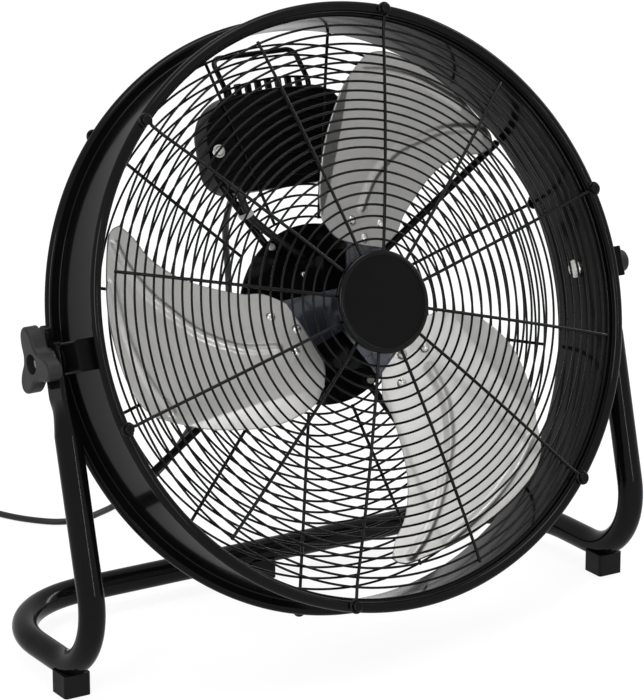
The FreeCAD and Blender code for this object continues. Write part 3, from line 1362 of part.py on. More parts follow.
def drum_pieces():
    """Pieces that tilt with the drum, drawn upright."""
    bracket = pivot_bracket()
    washer_right = clamp_washer()
    nut = knob_nut()
    pieces = {
        "drum_shell": drum_shell(),
        "front_grille_rings": front_rings(),
        "front_grille_spokes": spokes(front_spoke),
        "grille_screws": grille_screws(),
        "grille_centre_plate": centre_plate(),
        "hub_badge": badge(),
        "badge_screw": badge_screw(),
        "rear_grille_rings": rear_rings(),
        "rear_grille_spokes": spokes(rear_spoke),
        "motor_plate": motor_plate(),
        "motor_struts": motor_struts(),
        "strut_screws": strut_screws(),
        "motor_housing": motor_housing(),
        "motor_bell": motor_bell(),
        "motor_bearings": bearings(),
        "motor_screws": motor_screws(),
        "bell_screws": bell_screws(),
        "stator": stator(),
        "windings": windings(),
        "rotor_core": rotor_core(),
        "motor_shaft": motor_shaft(),
        "hub_spider": hub_spider(),
        "blade_rivets": rivets(),
        "hub_nut": hub_nut(),
        "control_box": control_box(),
        "box_cover": box_cover(),
        "box_screws": box_screws(),
        "box_washers": box_washers(),
        "rotary_switch": rotary_switch(),
        "switch_shaft": switch_shaft(),
        "speed_knob": speed_knob(),
        "capacitor": capacitor(),
        "motor_cable": motor_cable(),
        "cable_tie": cable_tie(),
        "carry_handle": handle(),
        "handle_nuts": handle_nuts(),
        "strain_relief": strain_relief(),
        "pivot_bracket_right": bracket,
        "pivot_bracket_left": mirrored(bracket),
        "pivot_bolts": pivot_bolts(),
        "friction_washers": friction_washers(),
        "clamp_washers": Part.makeCompound([washer_right, mirrored(washer_right)]),
        "clamp_knob_right": round_knob(),
        "clamp_knob_left": mirrored(clamp_knob()),
        "knob_nut_right": nut,
        "knob_nut_left": mirrored(nut),
    }
    single = blade()
    for number, angle in enumerate(blade_turns(), start=1):
        pieces["blade_%d" % number] = turned(single, angle)
    return pieces


def floor_pieces():
    """Pieces that stand or lie on the floor."""
    left, right, rear = foot_places()
    return {
        "stand_tube": stand_tube(),
        "front_foot_left": foot(left, FRONT_FOOT_HEIGHT),
        "front_foot_right": foot(right, FRONT_FOOT_HEIGHT),
        "rear_foot": foot(rear, REAR_FOOT_HEIGHT),
        "foot_screws": foot_screws(),
        "cord_drop": cord_stretch("cord_drop", drop_points()),
        "cord_run": cord_stretch("cord_run", run_points()),
        "cord_coil": cord_coil(),
        "cord_tie": cord_tie(),
        "plug_body": plug_body(),
        "plug_pins": plug_pins(),
    }


os.makedirs("parts", exist_ok=True)
for node, piece in drum_pieces().items():
    tilted(piece).exportStep("parts/%s.step" % node)
for node, piece in floor_pieces().items():
    standing(piece).exportStep("parts/%s.step" % node)
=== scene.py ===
"""Looks of a drum floor fan on a bent tube stand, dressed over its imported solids.

Sizes are in millimetres in the drum's own upright frame (x right, y back, z up, origin at the tilt axis)
and are carried to the row frame in metres by one placement. Angles run clockwise from the top, seen from
the front.
"""

import logging
import math
from dataclasses import dataclass
from enum import Enum
from typing import Callable, Optional, Sequence

import bpy
import numpy as np
from bpy.types import ID, Material, Node, NodeTree, Object
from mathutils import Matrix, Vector

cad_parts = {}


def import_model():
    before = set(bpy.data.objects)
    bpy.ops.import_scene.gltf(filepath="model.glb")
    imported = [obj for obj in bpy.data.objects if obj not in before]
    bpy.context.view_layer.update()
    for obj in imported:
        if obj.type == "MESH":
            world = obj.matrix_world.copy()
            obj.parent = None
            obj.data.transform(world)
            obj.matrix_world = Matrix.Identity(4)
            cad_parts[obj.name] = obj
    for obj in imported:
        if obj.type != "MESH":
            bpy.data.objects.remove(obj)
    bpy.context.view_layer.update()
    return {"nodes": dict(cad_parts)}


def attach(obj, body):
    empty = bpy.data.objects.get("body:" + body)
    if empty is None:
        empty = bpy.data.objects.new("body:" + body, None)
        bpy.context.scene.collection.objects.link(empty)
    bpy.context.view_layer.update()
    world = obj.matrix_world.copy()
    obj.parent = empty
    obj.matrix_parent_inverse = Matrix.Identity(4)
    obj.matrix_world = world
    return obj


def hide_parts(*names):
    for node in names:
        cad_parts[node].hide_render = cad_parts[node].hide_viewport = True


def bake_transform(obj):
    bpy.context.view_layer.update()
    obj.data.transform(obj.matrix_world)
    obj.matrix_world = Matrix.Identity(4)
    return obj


LOG = logging.getLogger("floor_fan")
Array = np.ndarray
Colour = tuple[float, float, float]
Point = tuple[float, float, float]

MM_PER_M = 1000.0
FULL_TURN = 2 * math.pi
QUARTER_TURN = math.pi / 2
UV_LAYER = "surface"
WHITE = (1.0, 1.0, 1.0, 1.0)
WIRE_SHARP_DEG = 80.0
# Domed end of a round bar: ring sizes, and how far the full ring and the middle ring are set in, as shares.
DOME_SIZES = (0.02, 0.8, 1.0)
DOME_INSET = 0.35
DOME_LAG = 0.25
# Sockets of Blender's mix node that share a name and are found by number.
MIX_COLOUR_A, MIX_COLOUR_B, MIX_COLOUR_OUT = 6, 7, 2
MIX_FLOAT_A, MIX_FLOAT_B = 2, 3


class Body(Enum):
    """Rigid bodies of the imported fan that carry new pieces."""

    STAND = "stand"
    DRUM = "drum"
    ROTOR = "rotor"


@dataclass(frozen=True)
class Placement:
    """Where the upright drum stands on the floor.

    Attributes:
        pivot: Tilt axis in the row frame, in millimetres.
        tilt_deg: How far the drum leans back at rest.
    """

    pivot: Point = (0.0, -11.74, 305.0)
    tilt_deg: float = 19.6

    def drum(self, points: Array) -> Array:
        """Leans upright drum points back about the tilt axis and lifts them to it.

        Args:
            points: Points in the drum's frame, in millimetres, with x, y, z last.

        Returns:
            The same points in the row frame, in metres.
        """
        turn = math.radians(self.tilt_deg)
        x, y, z = np.moveaxis(np.asarray(points, float), -1, 0)
        back = y * math.cos(turn) + z * math.sin(turn)
        up = z * math.cos(turn) - y * math.sin(turn)
        return self.standing(np.stack([x, back, up], axis=-1))

    def standing(self, points: Array) -> Array:
        """Lifts points drawn about the pivot to their place, in metres."""
        return (np.asarray(points, float) + np.array(self.pivot)) / MM_PER_M


PLACE = Placement()


def polar(radius: Array, angle: Array, y: Array) -> Array:
    """Points at a radius and a clockwise angle in radians from the top, at a depth y."""
    radius, angle, y = np.broadcast_arrays(radius, angle, y)
    return np.stack([radius * np.sin(angle), y, radius * np.cos(angle)], axis=-1)


def arc(centre: Sequence[float], radius: float, start: float, end: float, count: int) -> Array:
    """Points of a circle's arc in a plane: centre plus radius times (cos a, sin a), a from start to end.

    Args:
        centre: Two coordinates of the centre.
        radius: Radius of the arc.
        start: First angle, in radians.
        end: Last angle, in radians.
        count: Number of points.

    Returns:
        An array of count rows with two columns.
    """
    angle = np.linspace(start, end, count)
    return np.stack([centre[0] + radius * np.cos(angle), centre[1] + radius * np.sin(angle)], axis=-1)


def run_along(points: Array) -> Array:
    """Distance of each point of a line from its first point, measured along the line."""
    return np.concatenate([[0.0], np.cumsum(np.linalg.norm(np.diff(points, axis=0), axis=1))])


def even_curve(knots: Array, count: int) -> Array:
    """Smooth curve through points: cubic pieces whose slope at each point is that of its neighbours' chord.

    Args:
        knots: Rows of coordinates.
        count: Number of points wanted, evenly spaced along the curve.

    Returns:
        The points.
    """
    steps_per_knot = 24
    slope = np.gradient(knots, axis=0)
    place = np.linspace(0, len(knots) - 1, steps_per_knot * len(knots))
    index = np.minimum(place.astype(int), len(knots) - 2)
    t = (place - index)[:, None]
    p0, p1, m0, m1 = knots[index], knots[index + 1], slope[index], slope[index + 1]
    curve = ((2 * t ** 3 - 3 * t ** 2 + 1) * p0 + (t ** 3 - 2 * t ** 2 + t) * m0
             + (3 * t ** 2 - 2 * t ** 3) * p1 + (t ** 3 - t ** 2) * m1)
    run = run_along(curve)
    even = np.linspace(0, run[-1], count)
    return np.stack([np.interp(even, run, column) for column in curve.T], axis=-1)


def ridge(flat: Array, line: Array, half_width: float) -> Array:
    """Round rib along a line: 1 on the line, falling as a raised cosine to 0 at the half width.

    Args:
        flat: Grid of flat points.
        line: Points of the rib's middle line.
        half_width: Distance where the rib ends.

    Returns:
        The rib's height from 0 to 1 at each point.
    """
    square = ((flat[..., None, :] - line) ** 2).sum(-1).min(-1)
    reach = np.minimum(np.sqrt(square) / half_width, 1.0)
    return 0.5 + 0.5 * np.cos(math.pi * reach)


@dataclass
class Patch:
    """One grid surface of a piece.

    Attributes:
        points: Grid of points, rows by columns by three, in metres.
        close_rows: Whether the last row joins the first.
        close_columns: Whether each row is a ring.
        uv: Grid of the surface's two parameters, or None.
        finish: Number of the piece's material on this surface.
    """

    points: Array
    close_rows: bool = False
    close_columns: bool = False
    uv: Optional[Array] = None
    finish: int = 0

    def faces(self) -> Array:
        """Quads of the grid, closed round in either direction where asked.

        Returns:
            Rows of four point numbers.
        """
        rows, columns = self.points.shape[:2]
        i = np.arange(rows if self.close_rows else rows - 1)[:, None]
        j = np.arange(columns if self.close_columns else columns - 1)[None, :]
        i_next, j_next = (i + 1) % rows, (j + 1) % columns
        corners = [i * columns + j, i_next * columns + j, i_next * columns + j_next, i * columns + j_next]
        return np.stack(np.broadcast_arrays(*corners), axis=-1).reshape(-1, 4)


def build_piece(name: str, patches: Sequence[Patch], materials: Sequence[Material],
                sharp_deg: float = 40.0) -> Object:
    """Makes one mesh object from grid surfaces, smooth shaded except at sharp edges.

    Args:
        name: Name of the piece.
        patches: Its grid surfaces, in the row frame.
        materials: Its materials, in the order of the patches' finish numbers.
        sharp_deg: Edges that turn more than this stay sharp.

    Returns:
        The new object, at the origin.
    """
    points, faces, uvs, finishes, start = [], [], [], [], 0
    for patch in patches:
        quads, flat = patch.faces(), patch.points.reshape(-1, 3)
        points.append(flat)
        faces.append(quads + start)
        uvs.append(np.zeros((len(flat), 2)) if patch.uv is None else patch.uv.reshape(-1, 2))
        finishes.append(np.full(len(quads), patch.finish))
        start += len(flat)
    mesh = bpy.data.meshes.new(name)
    corners = np.concatenate(faces)
    mesh.from_pydata(np.concatenate(points).tolist(), [], corners.tolist())
    layer = mesh.uv_layers.new(name=UV_LAYER)
    layer.data.foreach_set("uv", np.concatenate(uvs)[corners.ravel()].astype(np.float32).ravel())
    mesh.polygons.foreach_set("material_index", np.concatenate(finishes).astype(np.int32))
    for material in materials:
        mesh.materials.append(material)
    mesh.shade_smooth()
    mesh.set_sharp_from_angle(angle=math.radians(sharp_deg))
    mesh.update()
    piece = bpy.data.objects.new(name, mesh)
    bpy.context.scene.collection.objects.link(piece)
    return piece


def lathe(profile: Array, segments: int, closed: bool, finish: int = 0) -> Patch:
    """Surface of revolution about the fan's axis: each (radius, y) of the profile carried round a full turn.

    Args:
        profile: Rows of radius and y, ordered so that faces point outwards.
        segments: Number of steps round.
        closed: Whether the profile joins its own start.
        finish: Material number.

    Returns:
        The surface.
    """
    angle = np.linspace(0.0, FULL_TURN, segments, endpoint=False)[None, :]
    points = polar(profile[:, 0][:, None], angle, profile[:, 1][:, None])
    share = np.linspace(0, 1, len(profile))[:, None]
    uv = np.stack(np.broadcast_arrays(share, angle / FULL_TURN), -1)
    return Patch(PLACE.drum(points), closed, True, uv, finish)


def path_frames(path: Array) -> tuple[Array, Array]:
    """Two cross directions along a path, carried from point to point with the least twist.

    Args:
        path: Points of the path.

    Returns:
        Two arrays of unit vectors, square to the path and to each other.
    """
    tangent = np.gradient(path, axis=0)
    tangent /= np.linalg.norm(tangent, axis=1, keepdims=True)
    carried = np.eye(3)[np.argmin(np.abs(tangent[0]))]
    side = np.empty_like(path)
    for index, heading in enumerate(tangent):
        carried = carried - heading * (carried @ heading)
        carried = carried / np.linalg.norm(carried)
        side[index] = carried
    return side, np.cross(tangent, side)


def tube(path: Array, radius: float, sides: int, place: Callable[[Array], Array]) -> Patch:
    """Round bar: a circle carried along a path, with domed ends that all but close.

    Args:
        path: Points of the centre line, in millimetres.
        radius: Radius of the bar.
        sides: Number of points round it.
        place: Carries the points to the row frame.

    Returns:
        The surface.
    """
    side, across = path_frames(path)
    last = len(path) - 1
    rows = np.concatenate([[0, 0], np.arange(len(path)), [last, last]])
    size = radius * np.concatenate([DOME_SIZES, np.ones(len(path) - 2), DOME_SIZES[::-1]])
    angle = np.linspace(0.0, FULL_TURN, sides, endpoint=False)
    ring = (np.cos(angle)[None, :, None] * side[rows][:, None, :]
            + np.sin(angle)[None, :, None] * across[rows][:, None, :])
    centre = path[rows]
    heading = np.cross(side, across)
    inset = DOME_INSET * radius
    for full, middle, inwards in ((2, 1, heading[0]), (-3, -2, -heading[-1])):
        centre[full] += inwards * inset
        centre[middle] += inwards * DOME_LAG * inset
    points = centre[:, None, :] + size[:, None, None] * ring
    run = run_along(centre) / MM_PER_M
    uv = np.stack(np.broadcast_arrays(angle[None, :] / FULL_TURN, run[:, None]), -1)
    return Patch(place(points), False, True, uv)


def spline_line(route: Array) -> Array:
    """Reads the smooth NURBS line through a route of control points, as Blender draws it.

    Args:
        route: Control points in the row frame, in metres.

    Returns:
        Points along the line.
    """
    curve = bpy.data.curves.new("route", "CURVE")
    curve.dimensions = "3D"
    curve.resolution_u = 8
    spline = curve.splines.new("NURBS")
    spline.points.add(len(route) - 1)
    spline.points.foreach_set("co", np.c_[route, np.ones(len(route))].astype(np.float32).ravel())
    spline.order_u = 3
    spline.use_endpoint_u = True
    carrier = bpy.data.objects.new("route", curve)
    bpy.context.scene.collection.objects.link(carrier)
    bpy.context.view_layer.update()
    mesh = bpy.data.meshes.new_from_object(carrier.evaluated_get(bpy.context.evaluated_depsgraph_get()))
    line = np.empty(len(mesh.vertices) * 3, np.float32)
    mesh.vertices.foreach_get("co", line)
    bpy.data.objects.remove(carrier)
    bpy.data.curves.remove(curve)
    bpy.data.meshes.remove(mesh)
    return line.reshape(-1, 3).astype(float)


class Nodes:
    """Short ways to add and wire shader nodes in one tree."""

    def __init__(self, tree: NodeTree) -> None:
        """Keeps the tree and empties it."""
        self.tree = tree
        tree.nodes.clear()

    def add(self, kind: str, **values: object) -> Node:
        """Adds a node and sets its properties and its unlinked inputs.

        Args:
            kind: Blender's node type, less its first word ShaderNode.
            **values: Properties by name, or inputs by name with spaces as underscores.

        Returns:
            The node.
        """
        node = self.tree.nodes.new("ShaderNode" + kind)
        for key, value in values.items():
            if hasattr(node, key):
                setattr(node, key, value)
            else:
                node.inputs[key.replace("_", " ")].default_value = value
        return node

    def wire(self, *links: tuple) -> None:
        """Joins outputs to inputs.

        Args:
            *links: Each a node, its output, the next node and its input, by name or number.
        """
        for source, output, target, entry in links:
            self.tree.links.new(source.outputs[output], target.inputs[entry])


class Effect(Enum):
    """Shared surface effects, each one shader node group."""

    GRAIN = "surface_grain"
    MOTTLE = "tone_mottle"
    BRUSHED = "brushed_lines"


class EffectLibrary:
    """Builds each shared effect once and hands it to the finishes."""

    def __init__(self) -> None:
        """Starts with no groups."""
        self.groups: dict[Effect, NodeTree] = {}

    def group(self, effect: Effect) -> NodeTree:
        """Returns the effect's node group, building it the first time."""
        if effect not in self.groups:
            makers = {Effect.GRAIN: self._grain, Effect.MOTTLE: self._mottle, Effect.BRUSHED: self._brushed}
            self.groups[effect] = makers[effect]()
        return self.groups[effect]

    @staticmethod
    def _open(effect: Effect, inputs: dict[str, str],
              outputs: dict[str, str]) -> tuple[Nodes, Node, Node]:
        """Starts an effect's group with its sockets.

        Args:
            effect: The effect.
            inputs: Kind of each input, by name: Float, Vector or Color.
            outputs: Kind of each output, by name.

        Returns:
            The group's nodes, and among them its input and its output node.
        """
        tree = bpy.data.node_groups.new(effect.value, "ShaderNodeTree")
        for way, sockets in (("INPUT", inputs), ("OUTPUT", outputs)):
            for name, kind in sockets.items():
                tree.interface.new_socket(name, in_out=way, socket_type="NodeSocket" + kind)
        nodes = Nodes(tree)
        return nodes, tree.nodes.new("NodeGroupInput"), tree.nodes.new("NodeGroupOutput")

    @staticmethod
    def _mix_tones(nodes: Nodes, given: Node, out: Node, factor: tuple) -> None:
        """Mixes a group's dark and light tone into its colour.

        Args:
            nodes: The group's nodes.
            given: Its input node.
            out: Its output node.
            factor: Node and output that say how light the tone is.
        """
        mix = nodes.add("Mix", data_type="RGBA")
        nodes.wire((*factor, mix, 0), (given, "Dark", mix, MIX_COLOUR_A), (given, "Light", mix, MIX_COLOUR_B),
                   (mix, MIX_COLOUR_OUT, out, "Color"))

    def _grain(self) -> NodeTree:
        """Fine even grain: two sizes of noise make the height, and the coarser one spreads the roughness."""
        coarse_share, coarse_weight = 0.035, 0.35
        nodes, given, out = self._open(
            Effect.GRAIN, {"Vector": "Vector", "Scale": "Float", "Rough Low": "Float", "Rough High": "Float"},
            {"Height": "Float", "Roughness": "Float"})
        fine = nodes.add("TexNoise", Detail=2.0, Roughness=0.6)
        coarse_scale = nodes.add("Math", operation="MULTIPLY")
        coarse_scale.inputs[1].default_value = coarse_share
        coarse = nodes.add("TexNoise", Detail=3.0, Roughness=0.55)
        height = nodes.add("Math", operation="MULTIPLY_ADD")
        height.inputs[1].default_value = coarse_weight
        spread = nodes.add("MapRange", From_Min=0.3, From_Max=0.7)
        nodes.wire((given, "Vector", fine, "Vector"), (given, "Scale", fine, "Scale"),
                   (given, "Scale", coarse_scale, 0), (given, "Vector", coarse, "Vector"),
                   (coarse_scale, 0, coarse, "Scale"), (coarse, "Fac", height, 0), (fine, "Fac", height, 2),
                   (coarse, "Fac", spread, "Value"), (given, "Rough Low", spread, "To Min"),
                   (given, "Rough High", spread, "To Max"), (height, 0, out, "Height"),
                   (spread, "Result", out, "Roughness"))
        return nodes.tree

    def _mottle(self) -> NodeTree:
        """Slow change of tone: large soft noise mixes a dark and a light version of the colour."""
        nodes, given, out = self._open(
            Effect.MOTTLE, {"Vector": "Vector", "Scale": "Float", "Dark": "Color", "Light": "Color"},
            {"Color": "Color"})
        cloud = nodes.add("TexNoise", Detail=4.0, Roughness=0.5)
        spread = nodes.add("MapRange", From_Min=0.32, From_Max=0.68)
        nodes.wire((given, "Vector", cloud, "Vector"), (given, "Scale", cloud, "Scale"),
                   (cloud, "Fac", spread, "Value"))
        self._mix_tones(nodes, given, out, (spread, "Result"))
        return nodes.tree

    def _brushed(self) -> NodeTree:
        """Rolling lines: noise drawn out along one surface parameter sets the height, roughness and tone."""
        nodes, given, out = self._open(
            Effect.BRUSHED, {"Vector": "Vector", "Lines": "Vector", "Dark": "Color", "Light": "Color",
                             "Rough Low": "Float", "Rough High": "Float"},
            {"Color": "Color", "Height": "Float", "Roughness": "Float"})
        stretch = nodes.add("VectorMath", operation="MULTIPLY")
        lines = nodes.add("TexNoise", Scale=1.0, Detail=3.0, Roughness=0.65)
        spread = nodes.add("MapRange", From_Min=0.35, From_Max=0.65)
        nodes.wire((given, "Vector", stretch, 0), (given, "Lines", stretch, 1), (stretch, 0, lines, "Vector"),
                   (lines, "Fac", spread, "Value"), (given, "Rough Low", spread, "To Min"),
                   (given, "Rough High", spread, "To Max"), (lines, "Fac", out, "Height"),
                   (spread, "Result", out, "Roughness"))
        self._mix_tones(nodes, given, out, (lines, "Fac"))
        return nodes.tree


def start_material(name: str) -> tuple[Material, Nodes, Node]:
    """Makes a material that has only its output node.

    Args:
        name: Name of the material.

    Returns:
        The material, its nodes and the output node.
    """
    material = bpy.data.materials.new(name)
    material.use_nodes = True
    nodes = Nodes(material.node_tree)
    return material, nodes, nodes.add("OutputMaterial")


@dataclass(frozen=True)
class Finish:
    """One coated, moulded, plated or rolled surface.

    Attributes:
        name: Name of the material.
        slot: Name of its material slot.
        dark: Darker tone of its colour.
        light: Lighter tone of its colour.
        rough: Lowest and highest roughness.
        metallic: 1 for bare metal.
        grain: Grains per metre.
        bump: Depth of the grain or the lines, in metres.
        mottle: Tone patches per metre.
        coat: Weight of a clear coat.
        coat_rough: Roughness of the clear coat.
        specular: Level of the plain reflection.
        lines: Line counts of a rolled sheet along its two surface parameters and an idle third, or None
            for a surface with grain and tone patches.
    """

    name: str
    slot: str
    dark: Colour
    light: Colour
    rough: tuple[float, float]
    metallic: float = 0.0
    grain: float = 900.0
    bump: float = 0.00002
    mottle: float = 14.0
    coat: float = 0.0
    coat_rough: float = 0.1
    specular: float = 0.5
    lines: Optional[tuple[float, float, float]] = None

    def build(self, effects: EffectLibrary) -> Material:
        """Makes the material: grain or lines give roughness and a fine bump, patches or lines the tone.

        Args:
            effects: The shared node groups.

        Returns:
            The material.
        """
        material, nodes, out = start_material(self.name)
        shader = nodes.add("BsdfPrincipled", Metallic=self.metallic, Coat_Weight=self.coat,
                           Coat_Roughness=self.coat_rough, Specular_IOR_Level=self.specular)
        bump = nodes.add("Bump", Strength=1.0, Distance=self.bump)
        tones = {"Dark": (*self.dark, 1.0), "Light": (*self.light, 1.0)}
        rough = {"Rough_Low": self.rough[0], "Rough_High": self.rough[1]}
        if self.lines:
            where, axes = nodes.add("UVMap", uv_map=UV_LAYER), "UV"
            tone = relief = nodes.add("Group", node_tree=effects.group(Effect.BRUSHED),
                                      Lines=self.lines, **tones, **rough)
        else:
            where, axes = nodes.add("TexCoord"), "Object"
            tone = nodes.add("Group", node_tree=effects.group(Effect.MOTTLE), Scale=self.mottle, **tones)
            relief = nodes.add("Group", node_tree=effects.group(Effect.GRAIN), Scale=self.grain, **rough)
        nodes.wire((where, axes, tone, "Vector"), (where, axes, relief, "Vector"),
                   (tone, "Color", shader, "Base Color"), (relief, "Roughness", shader, "Roughness"),
                   (relief, "Height", bump, "Height"), (bump, "Normal", shader, "Normal"),
                   (shader, "BSDF", out, "Surface"))
        return material


def grey(value: float) -> Colour:
    """Returns a neutral colour."""
    return (value, value, value)


POWDER_COAT = Finish("powder_coat", "black_steel", (0.0022, 0.0022, 0.0023), (0.0036, 0.0036, 0.0037),
                     (0.15, 0.23), grain=700.0, bump=0.000012, coat=0.18, coat_rough=0.09, specular=0.01)
WIRE_COAT = Finish("wire_coat", "black_steel", (0.002, 0.002, 0.0021), (0.0034, 0.0033, 0.0033), (0.2, 0.3),
                   grain=1500.0, bump=0.00001, specular=0.12)
HUB_LACQUER = Finish("hub_lacquer", "hub_metal", (0.016, 0.019, 0.026), (0.03, 0.036, 0.048), (0.2, 0.3),
                     metallic=0.6, grain=500.0, bump=0.00001, coat=0.6, coat_rough=0.08)
ZINC_PLATE = Finish("zinc_plate", "zinc_steel", (0.52, 0.51, 0.48), (0.68, 0.67, 0.64), (0.22, 0.36),
                    metallic=1.0, grain=1400.0, bump=0.00001, mottle=120.0)
CORE_SHEETS = Finish("core_sheets", "core_steel", (0.16, 0.16, 0.17), (0.26, 0.26, 0.27), (0.4, 0.55),
                     metallic=1.0, grain=1800.0)
ENAMELLED_WIRE = Finish("enamelled_wire", "copper", (0.42, 0.17, 0.07), (0.6, 0.27, 0.12), (0.28, 0.42),
                        metallic=1.0, grain=1300.0, bump=0.0001)
MOULDED_BLACK = Finish("moulded_black", "black_plastic", grey(0.0022), grey(0.004), (0.42, 0.54),
                       grain=1300.0, bump=0.00006, specular=0.08)
# Knob plastic lighter than the other black plastic: partly the knobs' own dark grey, partly painted light
# standing for the lamp light on their faces.
KNOB_GREY_WITH_PAINTED_LIGHT = Finish("knob_grey_with_painted_light", "black_plastic", grey(0.0105), grey(0.0145), (0.42, 0.54),
                    grain=1300.0, bump=0.00006, specular=0.2)
BRACKET_BLACK = Finish("bracket_black", "black_plastic", grey(0.0018), grey(0.003), (0.4, 0.5),
                       grain=1100.0, bump=0.00004, specular=0.04)
BADGE_GLOSS = Finish("badge_gloss", "badge_plastic", grey(0.0022), grey(0.0034), (0.16, 0.22),
                     grain=400.0, bump=0.000004, coat=0.12, coat_rough=0.06, specular=0.06)
BADGE_SATIN = Finish("badge_satin", "badge_plastic", grey(0.0022), grey(0.0034), (0.34, 0.44),
                     grain=1800.0, bump=0.00001, specular=0.06)
RUBBER = Finish("rubber", "black_rubber", grey(0.003), grey(0.005), (0.48, 0.62), grain=1000.0,
                bump=0.00005, specular=0.12)
CORD_SHEATH = Finish("cord_sheath", "black_rubber", (0.0045, 0.0045, 0.0047), (0.007, 0.007, 0.0072),
                     (0.36, 0.48), grain=1600.0, specular=0.3)
TIE_NYLON = Finish("tie_nylon", "grey_plastic", (0.4, 0.4, 0.39), (0.5, 0.5, 0.49), (0.35, 0.48))
PIN_PLATE = Finish("pin_plate", "plated_pins", (0.66, 0.65, 0.6), (0.78, 0.77, 0.73), (0.12, 0.22),
                   metallic=1.0)
BLADE_ALUMINIUM = Finish("blade_aluminium", "blade_metal", (0.4, 0.395, 0.385), (0.5, 0.495, 0.485),
                         (0.3, 0.44), metallic=1.0, lines=(8.0, 260.0, 1.0))

NODE_FINISHES: dict[Finish, tuple[str, ...]] = {
    POWDER_COAT: ("drum_shell", "stand_tube", "motor_plate", "motor_struts", "motor_housing", "motor_bell",
                  "carry_handle", "grille_centre_plate", "grille_screws"),
    WIRE_COAT: ("front_grille_rings", "front_grille_spokes", "rear_grille_rings", "rear_grille_spokes"),
    HUB_LACQUER: ("hub_spider",),
    ZINC_PLATE: ("blade_rivets", "hub_nut", "badge_screw", "strut_screws", "motor_screws", "bell_screws",
                 "motor_bearings", "motor_shaft", "box_screws", "box_washers", "switch_shaft", "handle_nuts",
                 "pivot_bolts", "clamp_washers", "knob_nut_right", "knob_nut_left", "foot_screws", "blade_1",
                 "blade_2", "blade_3"),
    CORE_SHEETS: ("stator", "rotor_core"),
    ENAMELLED_WIRE: ("windings",),
    MOULDED_BLACK: ("control_box", "box_cover", "rotary_switch", "speed_knob", "capacitor", "cord_tie"),
    KNOB_GREY_WITH_PAINTED_LIGHT: ("clamp_knob_right", "clamp_knob_left"),
    BRACKET_BLACK: ("pivot_bracket_right", "pivot_bracket_left"),
    BADGE_GLOSS: ("hub_badge",),
    RUBBER: ("front_foot_left", "front_foot_right", "rear_foot", "friction_washers", "strain_relief",
             "plug_body"),
    CORD_SHEATH: ("motor_cable", "cord_drop", "cord_run", "cord_coil"),
    TIE_NYLON: ("cable_tie",),
    PIN_PLATE: ("plug_pins",),
}


class Paintbox:
    """Builds each finish once and puts it on pieces."""

    def __init__(self) -> None:
        """Starts with no materials."""
        self.effects = EffectLibrary()
        self.made: dict[str, Material] = {}

    def material(self, finish: Finish) -> Material:
        """Returns the finish's material, building it the first time."""
        if finish.name not in self.made:
            self.made[finish.name] = finish.build(self.effects)
        return self.made[finish.name]

    def dress_nodes(self, nodes: dict[str, Object]) -> None:
        """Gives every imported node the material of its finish."""
        for finish, names in NODE_FINISHES.items():
            for name in names:
                nodes[name].data.materials.clear()
                nodes[name].data.materials.append(self.material(finish))

    def finished(self, piece: Object, body: Body, slot: str, *nodes: str) -> Object:
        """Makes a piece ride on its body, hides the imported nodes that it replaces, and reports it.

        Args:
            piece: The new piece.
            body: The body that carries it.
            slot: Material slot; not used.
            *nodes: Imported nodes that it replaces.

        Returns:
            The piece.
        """
        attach(piece, body.value)
        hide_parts(*nodes)
        LOG.info("%s: %d faces on %s", piece.name, len(piece.data.polygons), body.value)
        return piece


# Pressed ribs of a blade: knots as across and out, number of points along, rise and half width.
BLADE_RIBS = (
    (((-8, 91), (1, 119), (14, 139), (30, 156), (50, 169), (76, 184), (104, 193), (127, 195)), 160, 2.6, 6.0),
    (((-26, 213), (4, 220.5), (40, 222.5), (74, 218), (96, 213.5)), 100, 2.0, 5.5),
)
# Where a blade's trailing strip is folded: out and across.
BLADE_FOLD = ((60, -59), (71, -56), (100, -50.5), (130, -47), (165, -44), (215, -41))


